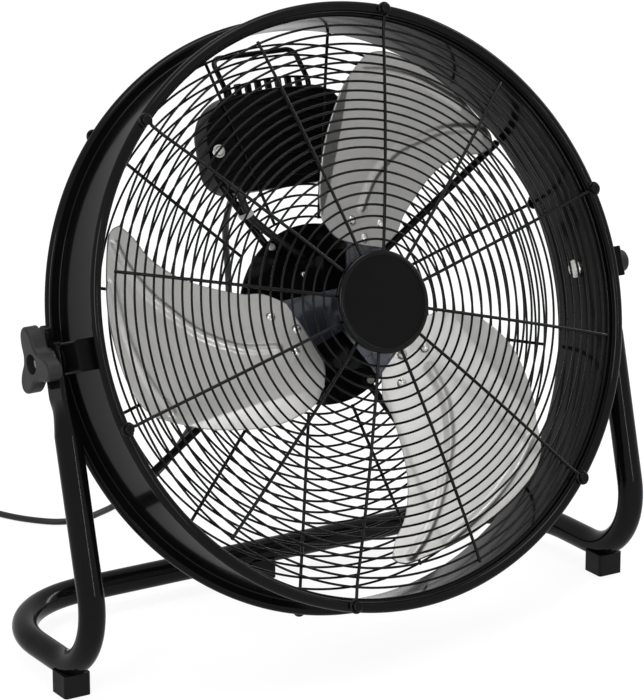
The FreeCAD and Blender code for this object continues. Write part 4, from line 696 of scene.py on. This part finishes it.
@dataclass
class BladeSet:
    """Three pressed sheet blades with embossed ribs and a folded trailing strip.

    Attributes:
        count: Number of blades.
        first_deg: Angle of the first blade's middle line.
        sheet: Thickness of the sheet.
        tip_radius: Radius of the tip.
        depth: Depth of the sheet's middle line at the axis.
        slopes: Pitch at the axis and at span.
        span: Distance out where the second pitch holds.
        reach: Sheet's reach across, behind and ahead of its middle line.
        camber: Rise of the sheet's middle over its edges.
        fold_slope: Rise of the trailing strip per distance beyond its fold.
        rows: Grid points from root to tip.
        columns: Grid points across.
    """

    count: int = 3
    first_deg: float = 20.0
    sheet: float = 1.2
    tip_radius: float = 240.0
    depth: float = -28.0
    slopes: tuple[float, float] = (0.34, 0.20)
    span: float = 245.0
    reach: tuple[float, float] = (85.0, 160.0)
    camber: float = 5.0
    fold_slope: float = 0.42
    rows: int = 110
    columns: int = 110

    def _sheet_y(self, across: Array, out: Array) -> Array:
        """Depth of the sheet: a pitch that falls with the distance out, plus a shallow parabola across.

        Args:
            across: Distance across the blade.
            out: Distance out from the axis.

        Returns:
            The depth at each point.
        """
        slope = self.slopes[0] + (self.slopes[1] - self.slopes[0]) * out / self.span
        middle = (self.reach[1] - self.reach[0]) / 2
        half = (self.reach[1] + self.reach[0]) / 2
        return self.depth + slope * across + self.camber * (1 - ((across - middle) / half) ** 2)

    def _side(self, points: Sequence[tuple[float, float]], count: int) -> Array:
        """Smooth side of the outline through points given as radius and angle.

        Args:
            points: Radius, and angle in degrees from the top.
            count: Number of points wanted.

        Returns:
            Rows of across and out.
        """
        turns = [(r, math.radians(a - self.first_deg)) for r, a in points]
        return even_curve(np.array([(r * math.sin(a), r * math.cos(a)) for r, a in turns]), count)

    def _flat_grid(self) -> Array:
        """Grid inside the outline: each point blends the four sides, less the blend of the four corners."""
        tip_fall = 0.6
        full, near = self.tip_radius, self.tip_radius - tip_fall
        root = self._side([(86, -19), (66, -12), (57, 14), (66, 42)], self.columns)
        tip = self._side([(219, 11), (233, 15), (near, 21), (full, 30), (full, 40), (near, 52.5), (237, 56),
                          (231, 57.6)], self.columns)
        trail = self._side([(86, -19), (112, -16), (150, -7), (190, 3.5), (219, 11)], self.rows)
        lead = self._side([(66, 42), (88, 47), (112, 45.5), (160, 47.5), (195, 51.5), (216, 56),
                           (231, 57.6)], self.rows)
        s = np.linspace(0, 1, self.columns)[None, :, None]
        v = np.linspace(0, 1, self.rows)[:, None, None]
        sides = (1 - v) * root[None] + v * tip[None] + (1 - s) * trail[:, None] + s * lead[:, None]
        corners = ((1 - s) * (1 - v) * root[0] + s * (1 - v) * root[-1]
                   + (1 - s) * v * tip[0] + s * v * tip[-1])
        return sides - corners

    def _emboss(self, flat: Array) -> Array:
        """Pressed relief: two round ribs and a fold along the trailing edge.

        Args:
            flat: Grid of across and out.

        Returns:
            The rise of the sheet towards the front at each point.
        """
        rise = sum(height * ridge(flat, even_curve(np.array(knots, float), count), half_width)
                   for knots, count, height, half_width in BLADE_RIBS)
        fold = np.interp(flat[..., 1], *np.transpose(BLADE_FOLD))
        return rise + self.fold_slope * np.maximum(0.0, fold - flat[..., 0])

    def build(self, paints: Paintbox) -> None:
        """Makes the blades, each with its thickness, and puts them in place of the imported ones.

        Args:
            paints: Gives the materials.
        """
        flat = self._flat_grid()
        across, out = flat[..., 0], flat[..., 1]
        front = self._sheet_y(across, out) - self._emboss(flat)
        turn = np.arctan2(across, out)
        radius = np.hypot(across, out)
        metal = [paints.material(BLADE_ALUMINIUM)]
        for number in range(self.count):
            angle = turn + math.radians(self.first_deg + 360.0 / self.count * number)
            name = "blade_%d" % (number + 1)
            patch = Patch(PLACE.drum(polar(radius, angle, front)), uv=flat / self.span)
            blade = build_piece("pressed_" + name, [patch], metal, sharp_deg=60.0)
            thick = blade.modifiers.new("sheet", "SOLIDIFY")
            thick.thickness = self.sheet / MM_PER_M
            thick.offset = 0.0
            paints.finished(blade, Body.ROTOR, BLADE_ALUMINIUM.slot, name)


@dataclass
class WireGrille:
    """Spot-welded wire grilles: rings on spokes, every other spoke ending in a screw eye.

    Attributes:
        ring_wire: Radius of the ring wire.
        spoke_wire: Radius of the spoke wire.
        bead_radius: Circle of the screws.
        eye_y: Depth of the eyes from the drum's middle.
        eye_radius: Radius of an eye's loop.
        eye_neck: Radius of the bend into the loop.
        eye_sweep: Turn of the loop, in degrees.
        dome_rise: Height of the front dome.
        dome_end: Radius where the dome ends.
        flatten: Radius of the bend from the dome to the rim's plane.
        seat: Gap between rings and spokes.
        front_start: Radius of the first front ring.
        front_steps: Number of front rings and their spacing, for the inner and the outer ones.
        rear_start: Radius of the first rear ring.
        rear_steps: Number of rear rings and their spacing.
        spokes: Number of spokes.
        first_spoke_deg: Angle of the first spoke.
        spoke_start: Radius where the front spokes start.
        overhang: Length of a plain spoke beyond its last ring.
    """

    ring_wire: float = 1.1
    spoke_wire: float = 1.5
    bead_radius: float = 270.0
    eye_y: float = 51.55
    eye_radius: float = 5.2
    eye_neck: float = 4.0
    eye_sweep: float = 280.0
    dome_rise: float = 19.0
    dome_end: float = 246.0
    flatten: float = 40.0
    seat: float = 0.05
    front_start: float = 57.0
    front_steps: tuple[tuple[int, float], ...] = ((9, 10.4), (13, 8.65))
    rear_start: float = 91.0
    rear_steps: tuple[int, float] = (17, 10.0)
    spokes: int = 12
    first_spoke_deg: float = 15.0
    spoke_start: float = 24.0
    overhang: float = 1.5

    def __post_init__(self) -> None:
        """Works out the dome from its rise and its end radius."""
        self.dome_radius = (self.dome_end ** 2 + self.dome_rise ** 2) / (2 * self.dome_rise)
        self.slope = math.asin(self.dome_end / self.dome_radius)
        self.edge_y = -self.eye_y - self.flatten * (1 - math.cos(self.slope))
        self.dome_centre = self.edge_y - self.dome_rise + self.dome_radius
        self.ring_offset = self.ring_wire + self.spoke_wire + self.seat

    def front_rings(self) -> tuple[Array, Array]:
        """Radii and depths of the front rings, on a sphere just inside the spokes."""
        (inner_count, inner_step), (outer_count, outer_step) = self.front_steps
        inner = self.front_start + inner_step * np.arange(inner_count)
        radii = np.concatenate([inner, inner[-1] + outer_step * np.arange(1, outer_count + 1)])
        ball = self.dome_centre - np.sqrt((self.dome_radius - self.ring_offset) ** 2 - radii ** 2)
        slope = (self.edge_y + (radii - self.dome_end) * math.tan(self.slope)
                 + self.ring_offset / math.cos(self.slope))
        return radii, np.where(radii <= self.dome_end, ball, slope)

    def rear_rings(self) -> tuple[Array, Array]:
        """Radii and depths of the rear rings, in one plane just in front of the spokes."""
        count, step = self.rear_steps
        return self.rear_start + step * np.arange(count), np.full(count, self.eye_y - self.ring_offset)

    def _eye(self) -> tuple[Array, float]:
        """Flat path of an eye at the top of the fan: a neck bend, then a loop round the screw.

        Returns:
            Rows of x and distance out, and the distance out where the neck starts.
        """
        total = self.eye_neck + self.eye_radius
        start = self.bead_radius - math.sqrt(total ** 2 - self.eye_neck ** 2)
        turn = math.acos(self.eye_neck / total)
        neck = arc((self.eye_neck, start), self.eye_neck, math.pi, math.pi - turn, count=8)
        loop = arc((0.0, self.bead_radius), self.eye_radius, -turn, -turn + math.radians(self.eye_sweep),
                   count=40)
        return np.concatenate([neck, loop[1:]]), start

    def _front_path(self, with_eye: bool) -> Array:
        """Centre line of a front spoke at the top: over the dome, then flat into its eye or to a plain end.

        Args:
            with_eye: Whether it ends in a screw eye.

        Returns:
            Its points, in the drum's frame.
        """
        dome_points, bend_points = 48, 8
        out = np.linspace(self.spoke_start, self.dome_end, dome_points)
        dome = np.stack([0 * out, self.dome_centre - np.sqrt(self.dome_radius ** 2 - out ** 2), out], -1)
        if not with_eye:
            reach = self.front_rings()[0][-1] + self.ring_wire + self.overhang - self.dome_end
            end = [0.0, self.edge_y + reach * math.tan(self.slope), self.dome_end + reach]
            return np.concatenate([dome, [end]])
        left = np.linspace(self.slope, 0, bend_points)[1:]
        along = self.dome_end + self.flatten * (math.sin(self.slope) - np.sin(left))
        flat = np.stack([0 * left, -self.eye_y - self.flatten * (1 - np.cos(left)), along], -1)
        eye, _ = self._eye()
        loop = np.stack([eye[:, 0], np.full(len(eye), -self.eye_y), eye[:, 1]], -1)
        return np.concatenate([dome, flat, loop])

    def _rear_path(self, with_eye: bool) -> Array:
        """Centre line of a rear spoke at the top: straight, then its eye or a plain end.

        Args:
            with_eye: Whether it ends in a screw eye.

        Returns:
            Its points, in the drum's frame.
        """
        straight_points = 12
        start = self.rear_start - self.ring_wire
        if not with_eye:
            end = self.rear_rings()[0][-1] + self.ring_wire + self.overhang
            out = np.linspace(start, end, straight_points)
            return np.stack([0 * out, np.full(len(out), self.eye_y), out], -1)
        eye, neck_start = self._eye()
        out = np.concatenate([np.linspace(start, neck_start, straight_points)[:-1], eye[:, 1]])
        x = np.concatenate([np.zeros(straight_points - 1), eye[:, 0]])
        return np.stack([x, np.full(len(out), self.eye_y), out], -1)

    def _spoke_patch(self, path: Array, number: int) -> Patch:
        """One spoke: its path at the top turned clockwise about the fan's axis, as a round bar.

        Args:
            path: Its centre line at the top.
            number: Its number, clockwise from the first.

        Returns:
            The surface.
        """
        turn = math.radians(self.first_spoke_deg + 360.0 / self.spokes * number)
        x = path[:, 0] * math.cos(turn) + path[:, 2] * math.sin(turn)
        z = path[:, 2] * math.cos(turn) - path[:, 0] * math.sin(turn)
        return tube(np.stack([x, path[:, 1], z], -1), self.spoke_wire, sides=10, place=PLACE.drum)

    def _ring_patch(self, radius: float, y: float) -> Patch:
        """One ring: a small circle carried round a large one."""
        sides = 8
        small = arc((radius, y), self.ring_wire, 0.0, FULL_TURN * (sides - 1) / sides, sides)
        return lathe(small[::-1], segments=220, closed=True)

    def build(self, paints: Paintbox) -> None:
        """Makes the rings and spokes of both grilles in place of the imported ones.

        Args:
            paints: Gives the materials.
        """
        for side, rings, path in (("front", self.front_rings(), self._front_path),
                                  ("rear", self.rear_rings(), self._rear_path)):
            patches = {"rings": [self._ring_patch(radius, y) for radius, y in zip(*rings)],
                       "spokes": [self._spoke_patch(path(number % 2 == 0), number)
                                  for number in range(self.spokes)]}
            for kind, wires in patches.items():
                piece = build_piece(side + "_" + kind, wires, [paints.material(WIRE_COAT)], WIRE_SHARP_DEG)
                paints.finished(piece, Body.DRUM, WIRE_COAT.slot, side + "_grille_" + kind)


@dataclass
class DrumShell:
    """Rolled sheet drum with a wall, two flanges and an open curl at each rim.

    Attributes:
        wall: Outer radius of the wall.
        sheet: Thickness of the sheet.
        bead_radius: Radius to the middle of the curl.
        bead_y: Distance of the curl from the drum's middle.
        roll: Outer radius of the curl's section.
        bend: Rounding between wall and flange.
    """

    wall: float = 263.0
    sheet: float = 1.2
    bead_radius: float = 270.0
    bead_y: float = 45.0
    roll: float = 5.0
    bend: float = 1.6

    def profile(self) -> Array:
        """Closed section of the sheet: inside of the wall, back curl, outside of the wall, front curl."""
        inner = self.wall - self.sheet
        low, high = self.bead_y - self.roll, self.bead_y - self.roll + self.sheet
        bead = (self.bead_radius, self.bead_y)
        inside = arc(bead, self.roll - self.sheet, -QUARTER_TURN, math.pi, count=30)
        outside = arc(bead, self.roll, math.pi, -QUARTER_TURN, count=36)
        corner = arc((inner + self.bend + self.sheet, high - self.bend - self.sheet), self.bend + self.sheet,
                     math.pi, QUARTER_TURN, count=6)
        elbow = arc((self.wall + self.bend, low - self.bend), self.bend, QUARTER_TURN, math.pi, count=6)
        back = np.concatenate([corner, inside, outside, elbow])
        front = back[::-1] * np.array([1.0, -1.0])
        return np.concatenate([back, front])

    def build(self, paints: Paintbox) -> None:
        """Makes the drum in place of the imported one.

        Args:
            paints: Gives the materials.
        """
        patch = lathe(self.profile()[::-1], segments=320, closed=True)
        piece = build_piece("rolled_drum", [patch], [paints.material(POWDER_COAT)], sharp_deg=50.0)
        paints.finished(piece, Body.DRUM, POWDER_COAT.slot, "drum_shell")


@dataclass
class HubBadge:
    """Bare round badge: a glossy rounded rim round a satin face.

    Attributes:
        radius: Outer radius.
        back: Depth of its rear face.
        depth: Thickness.
        rim: Width of the rim.
        corner: Rounding of the rim's front.
        edge: Rounding of the rim's inner edge and bevel of its rear one.
        recess: How far the face's rim lies below the front.
        crown: Rise of the face's middle.
        boss: Radius of the screw boss behind it.
        boss_back: Depth of the boss's end.
        pin: Radius where the surfaces stop short of the axis.
        segments: Steps round.
    """

    radius: float = 46.5
    back: float = -72.18
    depth: float = 5.0
    rim: float = 5.0
    corner: float = 3.2
    edge: float = 0.5
    recess: float = 0.8
    crown: float = 0.35
    boss: float = 8.0
    boss_back: float = -69.0
    pin: float = 0.05
    segments: int = 128

    def build(self, paints: Paintbox) -> None:
        """Turns the badge's rim and its face on the fan's axis.

        Args:
            paints: Gives the materials.
        """
        front = self.back - self.depth
        face_r = self.radius - self.rim
        corner = arc((self.radius - self.corner, front + self.corner), self.corner, 0.0, -QUARTER_TURN,
                     count=12)
        lip = arc((face_r + self.edge, front + self.edge), self.edge, -QUARTER_TURN, -math.pi, count=6)
        rear = [(self.pin, self.boss_back), (self.boss, self.boss_back), (self.boss, self.back),
                (self.radius - self.edge, self.back), (self.radius, self.back - self.edge)]
        rim = np.concatenate([rear, corner, lip, [(face_r, front + self.recess)]])
        face_radii = np.linspace(face_r, self.pin, num=14)
        rise = self.crown * (1 - (face_radii / face_r) ** 2)
        face = np.stack([face_radii, front + self.recess - rise], -1)
        patches = [lathe(profile, self.segments, False, number) for number, profile in enumerate((rim, face))]
        finishes = [paints.material(finish) for finish in (BADGE_GLOSS, BADGE_SATIN)]
        piece = build_piece("bare_badge", patches, finishes, sharp_deg=35.0)
        paints.finished(piece, Body.DRUM, BADGE_GLOSS.slot, "hub_badge")


def sheath(name: str, line: Array, radius: float, paints: Paintbox) -> Object:
    """Makes a cord as one smooth tube.

    Args:
        name: Name of the piece.
        line: Points along its middle in the row frame, in metres.
        radius: Radius of the cord, in millimetres.
        paints: Gives the material.

    Returns:
        The cord.
    """
    patch = tube(line * MM_PER_M, radius, sides=14, place=lambda points: points / MM_PER_M)
    return build_piece(name, [patch], [paints.material(CORD_SHEATH)], WIRE_SHARP_DEG)


@dataclass
class MainsCord:
    """Mains cord from the strain relief down to the floor, along it and into a tied coil with its plug.

    Attributes:
        radius: Radius of the sheath.
        relief: Route out of the strain relief, in the drum's frame.
        hang: Route down to the floor, from the pivot.
        crawl: Route along the floor to the coil, from the pivot.
        bend: Lower and upper end of the stretch that bends when the drum tilts, from the pivot; not used.
        floor: Height of the cord's middle on the floor, from the pivot.
        lift: Height of the coil's lower layer above that.
        rise: Height of the upper layer above the lower.
        coil: Middle of the coil, from the pivot.
        coil_radius: Radius of the outer half turn.
        pitch: Distance between turns.
        lead: Straight length of the cord before the coil and beyond it, up to the plug.
    """

    radius: float = 3.25
    relief: tuple[Point, ...] = ((10.0, 117.75, 140.0), (10.0, 157.7, 140.0))
    hang: tuple[Point, ...] = ((16, 240, 30), (30, 254, -38), (42, 276, -104), (40, 308, -166),
                               (32, 344, -220), (20, 374, -264), (-1, 393, -290))
    crawl: tuple[tuple[float, float], ...] = ((-27, 393), (-47, 384.5), (-67, 376), (-95, 379), (-117, 402),
                                              (-132, 427), (-142, 455))
    bend: tuple[Point, Point] = ((38, 330, -215), (10, 190, 84))
    floor: float = -301.7
    lift: float = 1.4
    rise: float = 7.2
    coil: tuple[float, float] = (-190.0, 530.0)
    coil_radius: float = 43.5
    pitch: float = 7.5
    lead: float = 42.0

    def _route(self) -> Array:
        """Control points of the whole cord, in the row frame."""
        x, y = self.coil[0] + self.coil_radius, self.coil[1]
        low = self.floor + self.lift
        crawl = [(*place, self.floor) for place in self.crawl]
        ahead = [(x, y - self.lead, low), (x, y - 2 * self.radius, low)]
        beyond = [(x, y + self.lead, low + self.rise)]
        rest = np.concatenate([self.hang, crawl, ahead, self._turns(), beyond])
        return np.concatenate([PLACE.drum(self.relief), PLACE.standing(rest)])

    def _turns(self) -> Array:
        """Route of the coil: half turns that spiral in on the floor, climb a layer and spiral out again."""
        steps, climbing = 8, 4
        step = self.pitch / 2
        radii = self.coil_radius - step * np.array([0, 1, 2, 3, 4, 3, 2, 1])
        centres = step * np.array([0, -1, 0, -1, 0, 1, 0, 1])
        share = (np.arange(steps) + 0.5) / steps
        turn = np.arange(len(radii))[:, None]
        angle = math.pi * (turn + share)
        wide = radii[:, None] / math.cos(math.pi / (2 * steps))
        climb = np.clip(turn - climbing + share, 0.0, 1.0)
        x = self.coil[0] + centres[:, None] + wide * np.cos(angle)
        y = self.coil[1] + wide * np.sin(angle)
        z = self.floor + self.lift + self.rise * climb
        return np.stack([x, y, z], -1).reshape(-1, 3)

    def build(self, paints: Paintbox, nodes: dict[str, Object]) -> None:
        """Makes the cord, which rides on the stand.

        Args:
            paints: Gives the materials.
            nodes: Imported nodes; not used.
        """
        line = spline_line(self._route())
        cord = sheath("mains_cord", line, self.radius, paints)
        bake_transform(cord)
        paints.finished(cord, Body.STAND, CORD_SHEATH.slot, "cord_drop", "cord_run", "cord_coil")


@dataclass
class MotorCable:
    """Sheathed cable from the control box through the rear grille and along a strut into the motor.

    Attributes:
        radius: Radius of the sheath.
        route: Angle in degrees, radius and depth of each control point.
    """

    radius: float = 3.7
    route: tuple[Point, ...] = ((-26.0, 146.0, 61.7), (-26.0, 146.0, 34.9), (330.0, 122.0, 34.9),
                                (330.0, 104.0, 34.9), (-10.0, 52.5, 34.9))

    def build(self, paints: Paintbox) -> None:
        """Makes the cable.

        Args:
            paints: Gives the materials.
        """
        angles, radii, depths = np.transpose(self.route)
        line = spline_line(PLACE.drum(polar(radii, np.radians(angles), depths)))
        cable = sheath("motor_lead", line, self.radius, paints)
        paints.finished(cable, Body.DRUM, CORD_SHEATH.slot, "motor_cable")


# Soft rectangular lamps: name, place in the row frame, width and height in metres, power in watts.
LAMPS = (
    ("key_left", (-2.4, -1.8, 2.0), (0.7, 1.6), 33.0),
    ("strip_front", (0.2, -3.0, 1.0), (0.09, 1.4), 14.0),
    ("strip_right", (3.0, 0.2, 1.6), (0.4, 2.0), 30.0),
    ("top", (0.2, -0.2, 3.0), (1.8, 1.2), 32.0),
)


@dataclass
class Studio:
    """Camera at the photograph's angle, a pale floor and soft white light.

    Attributes:
        towards: Unit direction from the pivot to the camera.
        distance: Distance of the camera from the pivot, in metres.
        lens: Focal length, in millimetres.
        shift: Shift of the frame that sets the fan off the picture's middle.
        world_light: Strength of the surroundings as light.
        floor_half: Half of the floor's side, in metres.
        floor_drop: Depth of the floor below the feet, in metres.
        floor_tone: Grey of the floor as a surface that lights the fan.
        floor_shade: Grey of the seen floor that takes the shadow.
        floor_glow: Glow that brings the seen floor up to white.
        aim: Point that the lamps face.
    """

    towards: Point = (-0.5083, -0.8135, 0.2823)
    distance: float = 3.2953
    lens: float = 187.1
    shift: tuple[float, float] = (-0.0281, -0.0574)
    world_light: float = 0.68
    floor_half: float = 6.0
    floor_drop: float = 0.0004
    floor_tone: float = 0.82
    floor_shade: float = 0.18
    floor_glow: float = 0.88
    aim: Point = (0.0, 0.0, 0.3)

    @staticmethod
    def _set_up(name: str, data: ID, place: Vector, facing: Vector) -> Object:
        """Puts a camera or a lamp in the scene.

        Args:
            name: Name of the object.
            data: The camera or the lamp.
            place: Its place in the row frame.
            facing: Direction in which it looks.

        Returns:
            The object.
        """
        thing = bpy.data.objects.new(name, data)
        thing.location = place
        thing.rotation_mode = "QUATERNION"
        thing.rotation_quaternion = facing.to_track_quat("-Z", "Y")
        bpy.context.scene.collection.objects.link(thing)
        return thing

    def camera(self) -> None:
        """Makes the camera and looks at the pivot."""
        data = bpy.data.cameras.new("camera")
        data.lens = self.lens
        data.sensor_width = 36.0
        data.shift_x, data.shift_y = self.shift
        data.clip_end = 50.0
        back = Vector(self.towards).normalized()
        place = Vector(PLACE.standing((0, 0, 0))) + back * self.distance
        bpy.context.scene.camera = self._set_up("camera", data, place, -back)

    def floor(self) -> None:
        """Makes the pale floor, which shows white where it is seen or mirrored and keeps the fan's shadow."""
        size = np.array([-self.floor_half, self.floor_half])
        x, y = np.meshgrid(size, size, indexing="ij")
        points = np.stack([x, y, np.full_like(x, -self.floor_drop)], -1)
        material, nodes, out = start_material("pale_floor")
        diffuse = nodes.add("BsdfDiffuse", Color=(*grey(self.floor_tone), 1.0))
        shade = nodes.add("BsdfDiffuse", Color=(*grey(self.floor_shade), 1.0))
        glow = nodes.add("Emission", Color=WHITE, Strength=self.floor_glow)
        both = nodes.add("AddShader")
        pick = nodes.add("MixShader")
        nodes.wire((shade, 0, both, 0), (glow, 0, both, 1), (self._white_rays(nodes), 0, pick, 0),
                   (diffuse, 0, pick, 1), (both, 0, pick, 2), (pick, 0, out, "Surface"))
        build_piece("studio_floor", [Patch(points)], [material])

    @staticmethod
    def _white_rays(nodes: Nodes) -> Node:
        """Returns a node that is 1 for rays that see the white background: camera, mirrored and refracted."""
        path = nodes.add("LightPath")
        mirrored = nodes.add("Math", operation="MAXIMUM")
        white = nodes.add("Math", operation="MAXIMUM")
        nodes.wire((path, "Is Camera Ray", mirrored, 0), (path, "Is Glossy Ray", mirrored, 1),
                   (mirrored, 0, white, 0), (path, "Is Transmission Ray", white, 1))
        return white

    def world(self) -> None:
        """Makes the surroundings: white where they are seen or mirrored, an even light otherwise."""
        world = bpy.data.worlds.new("studio")
        world.use_nodes = True
        bpy.context.scene.world = world
        nodes = Nodes(world.node_tree)
        out = nodes.add("OutputWorld")
        strength = nodes.add("Mix", data_type="FLOAT")
        strength.inputs[MIX_FLOAT_A].default_value = self.world_light
        strength.inputs[MIX_FLOAT_B].default_value = 1.0
        sky = nodes.add("Background", Color=WHITE)
        nodes.wire((self._white_rays(nodes), 0, strength, 0), (strength, 0, sky, "Strength"),
                   (sky, 0, out, "Surface"))

    def lamps(self) -> None:
        """Makes the lamps, each facing the fan."""
        for name, place, size, power in LAMPS:
            data = bpy.data.lights.new(name, "AREA")
            data.shape = "RECTANGLE"
            data.size, data.size_y = size
            data.energy = power
            self._set_up(name, data, Vector(place), Vector(self.aim) - Vector(place))

    def build(self) -> None:
        """Sets the camera, the surroundings, the floor, the lamps and the plain view."""
        bpy.context.scene.view_settings.view_transform = "Standard"
        self.camera()
        self.world()
        self.floor()
        self.lamps()


def main() -> None:
    """Loads the frame, builds the sub-assemblies in order and dresses every node."""
    logging.basicConfig(level=logging.INFO, format="%(name)s: %(message)s")
    bpy.ops.wm.read_factory_settings(use_empty=True)
    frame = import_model()
    paints = Paintbox()
    paints.dress_nodes(frame["nodes"])
    Studio().build()
    MainsCord().build(paints, frame["nodes"])
    for assembly in (MotorCable(), DrumShell(), WireGrille(), BladeSet(), HubBadge()):
        assembly.build(paints)


if __name__ == "__main__":
    main()
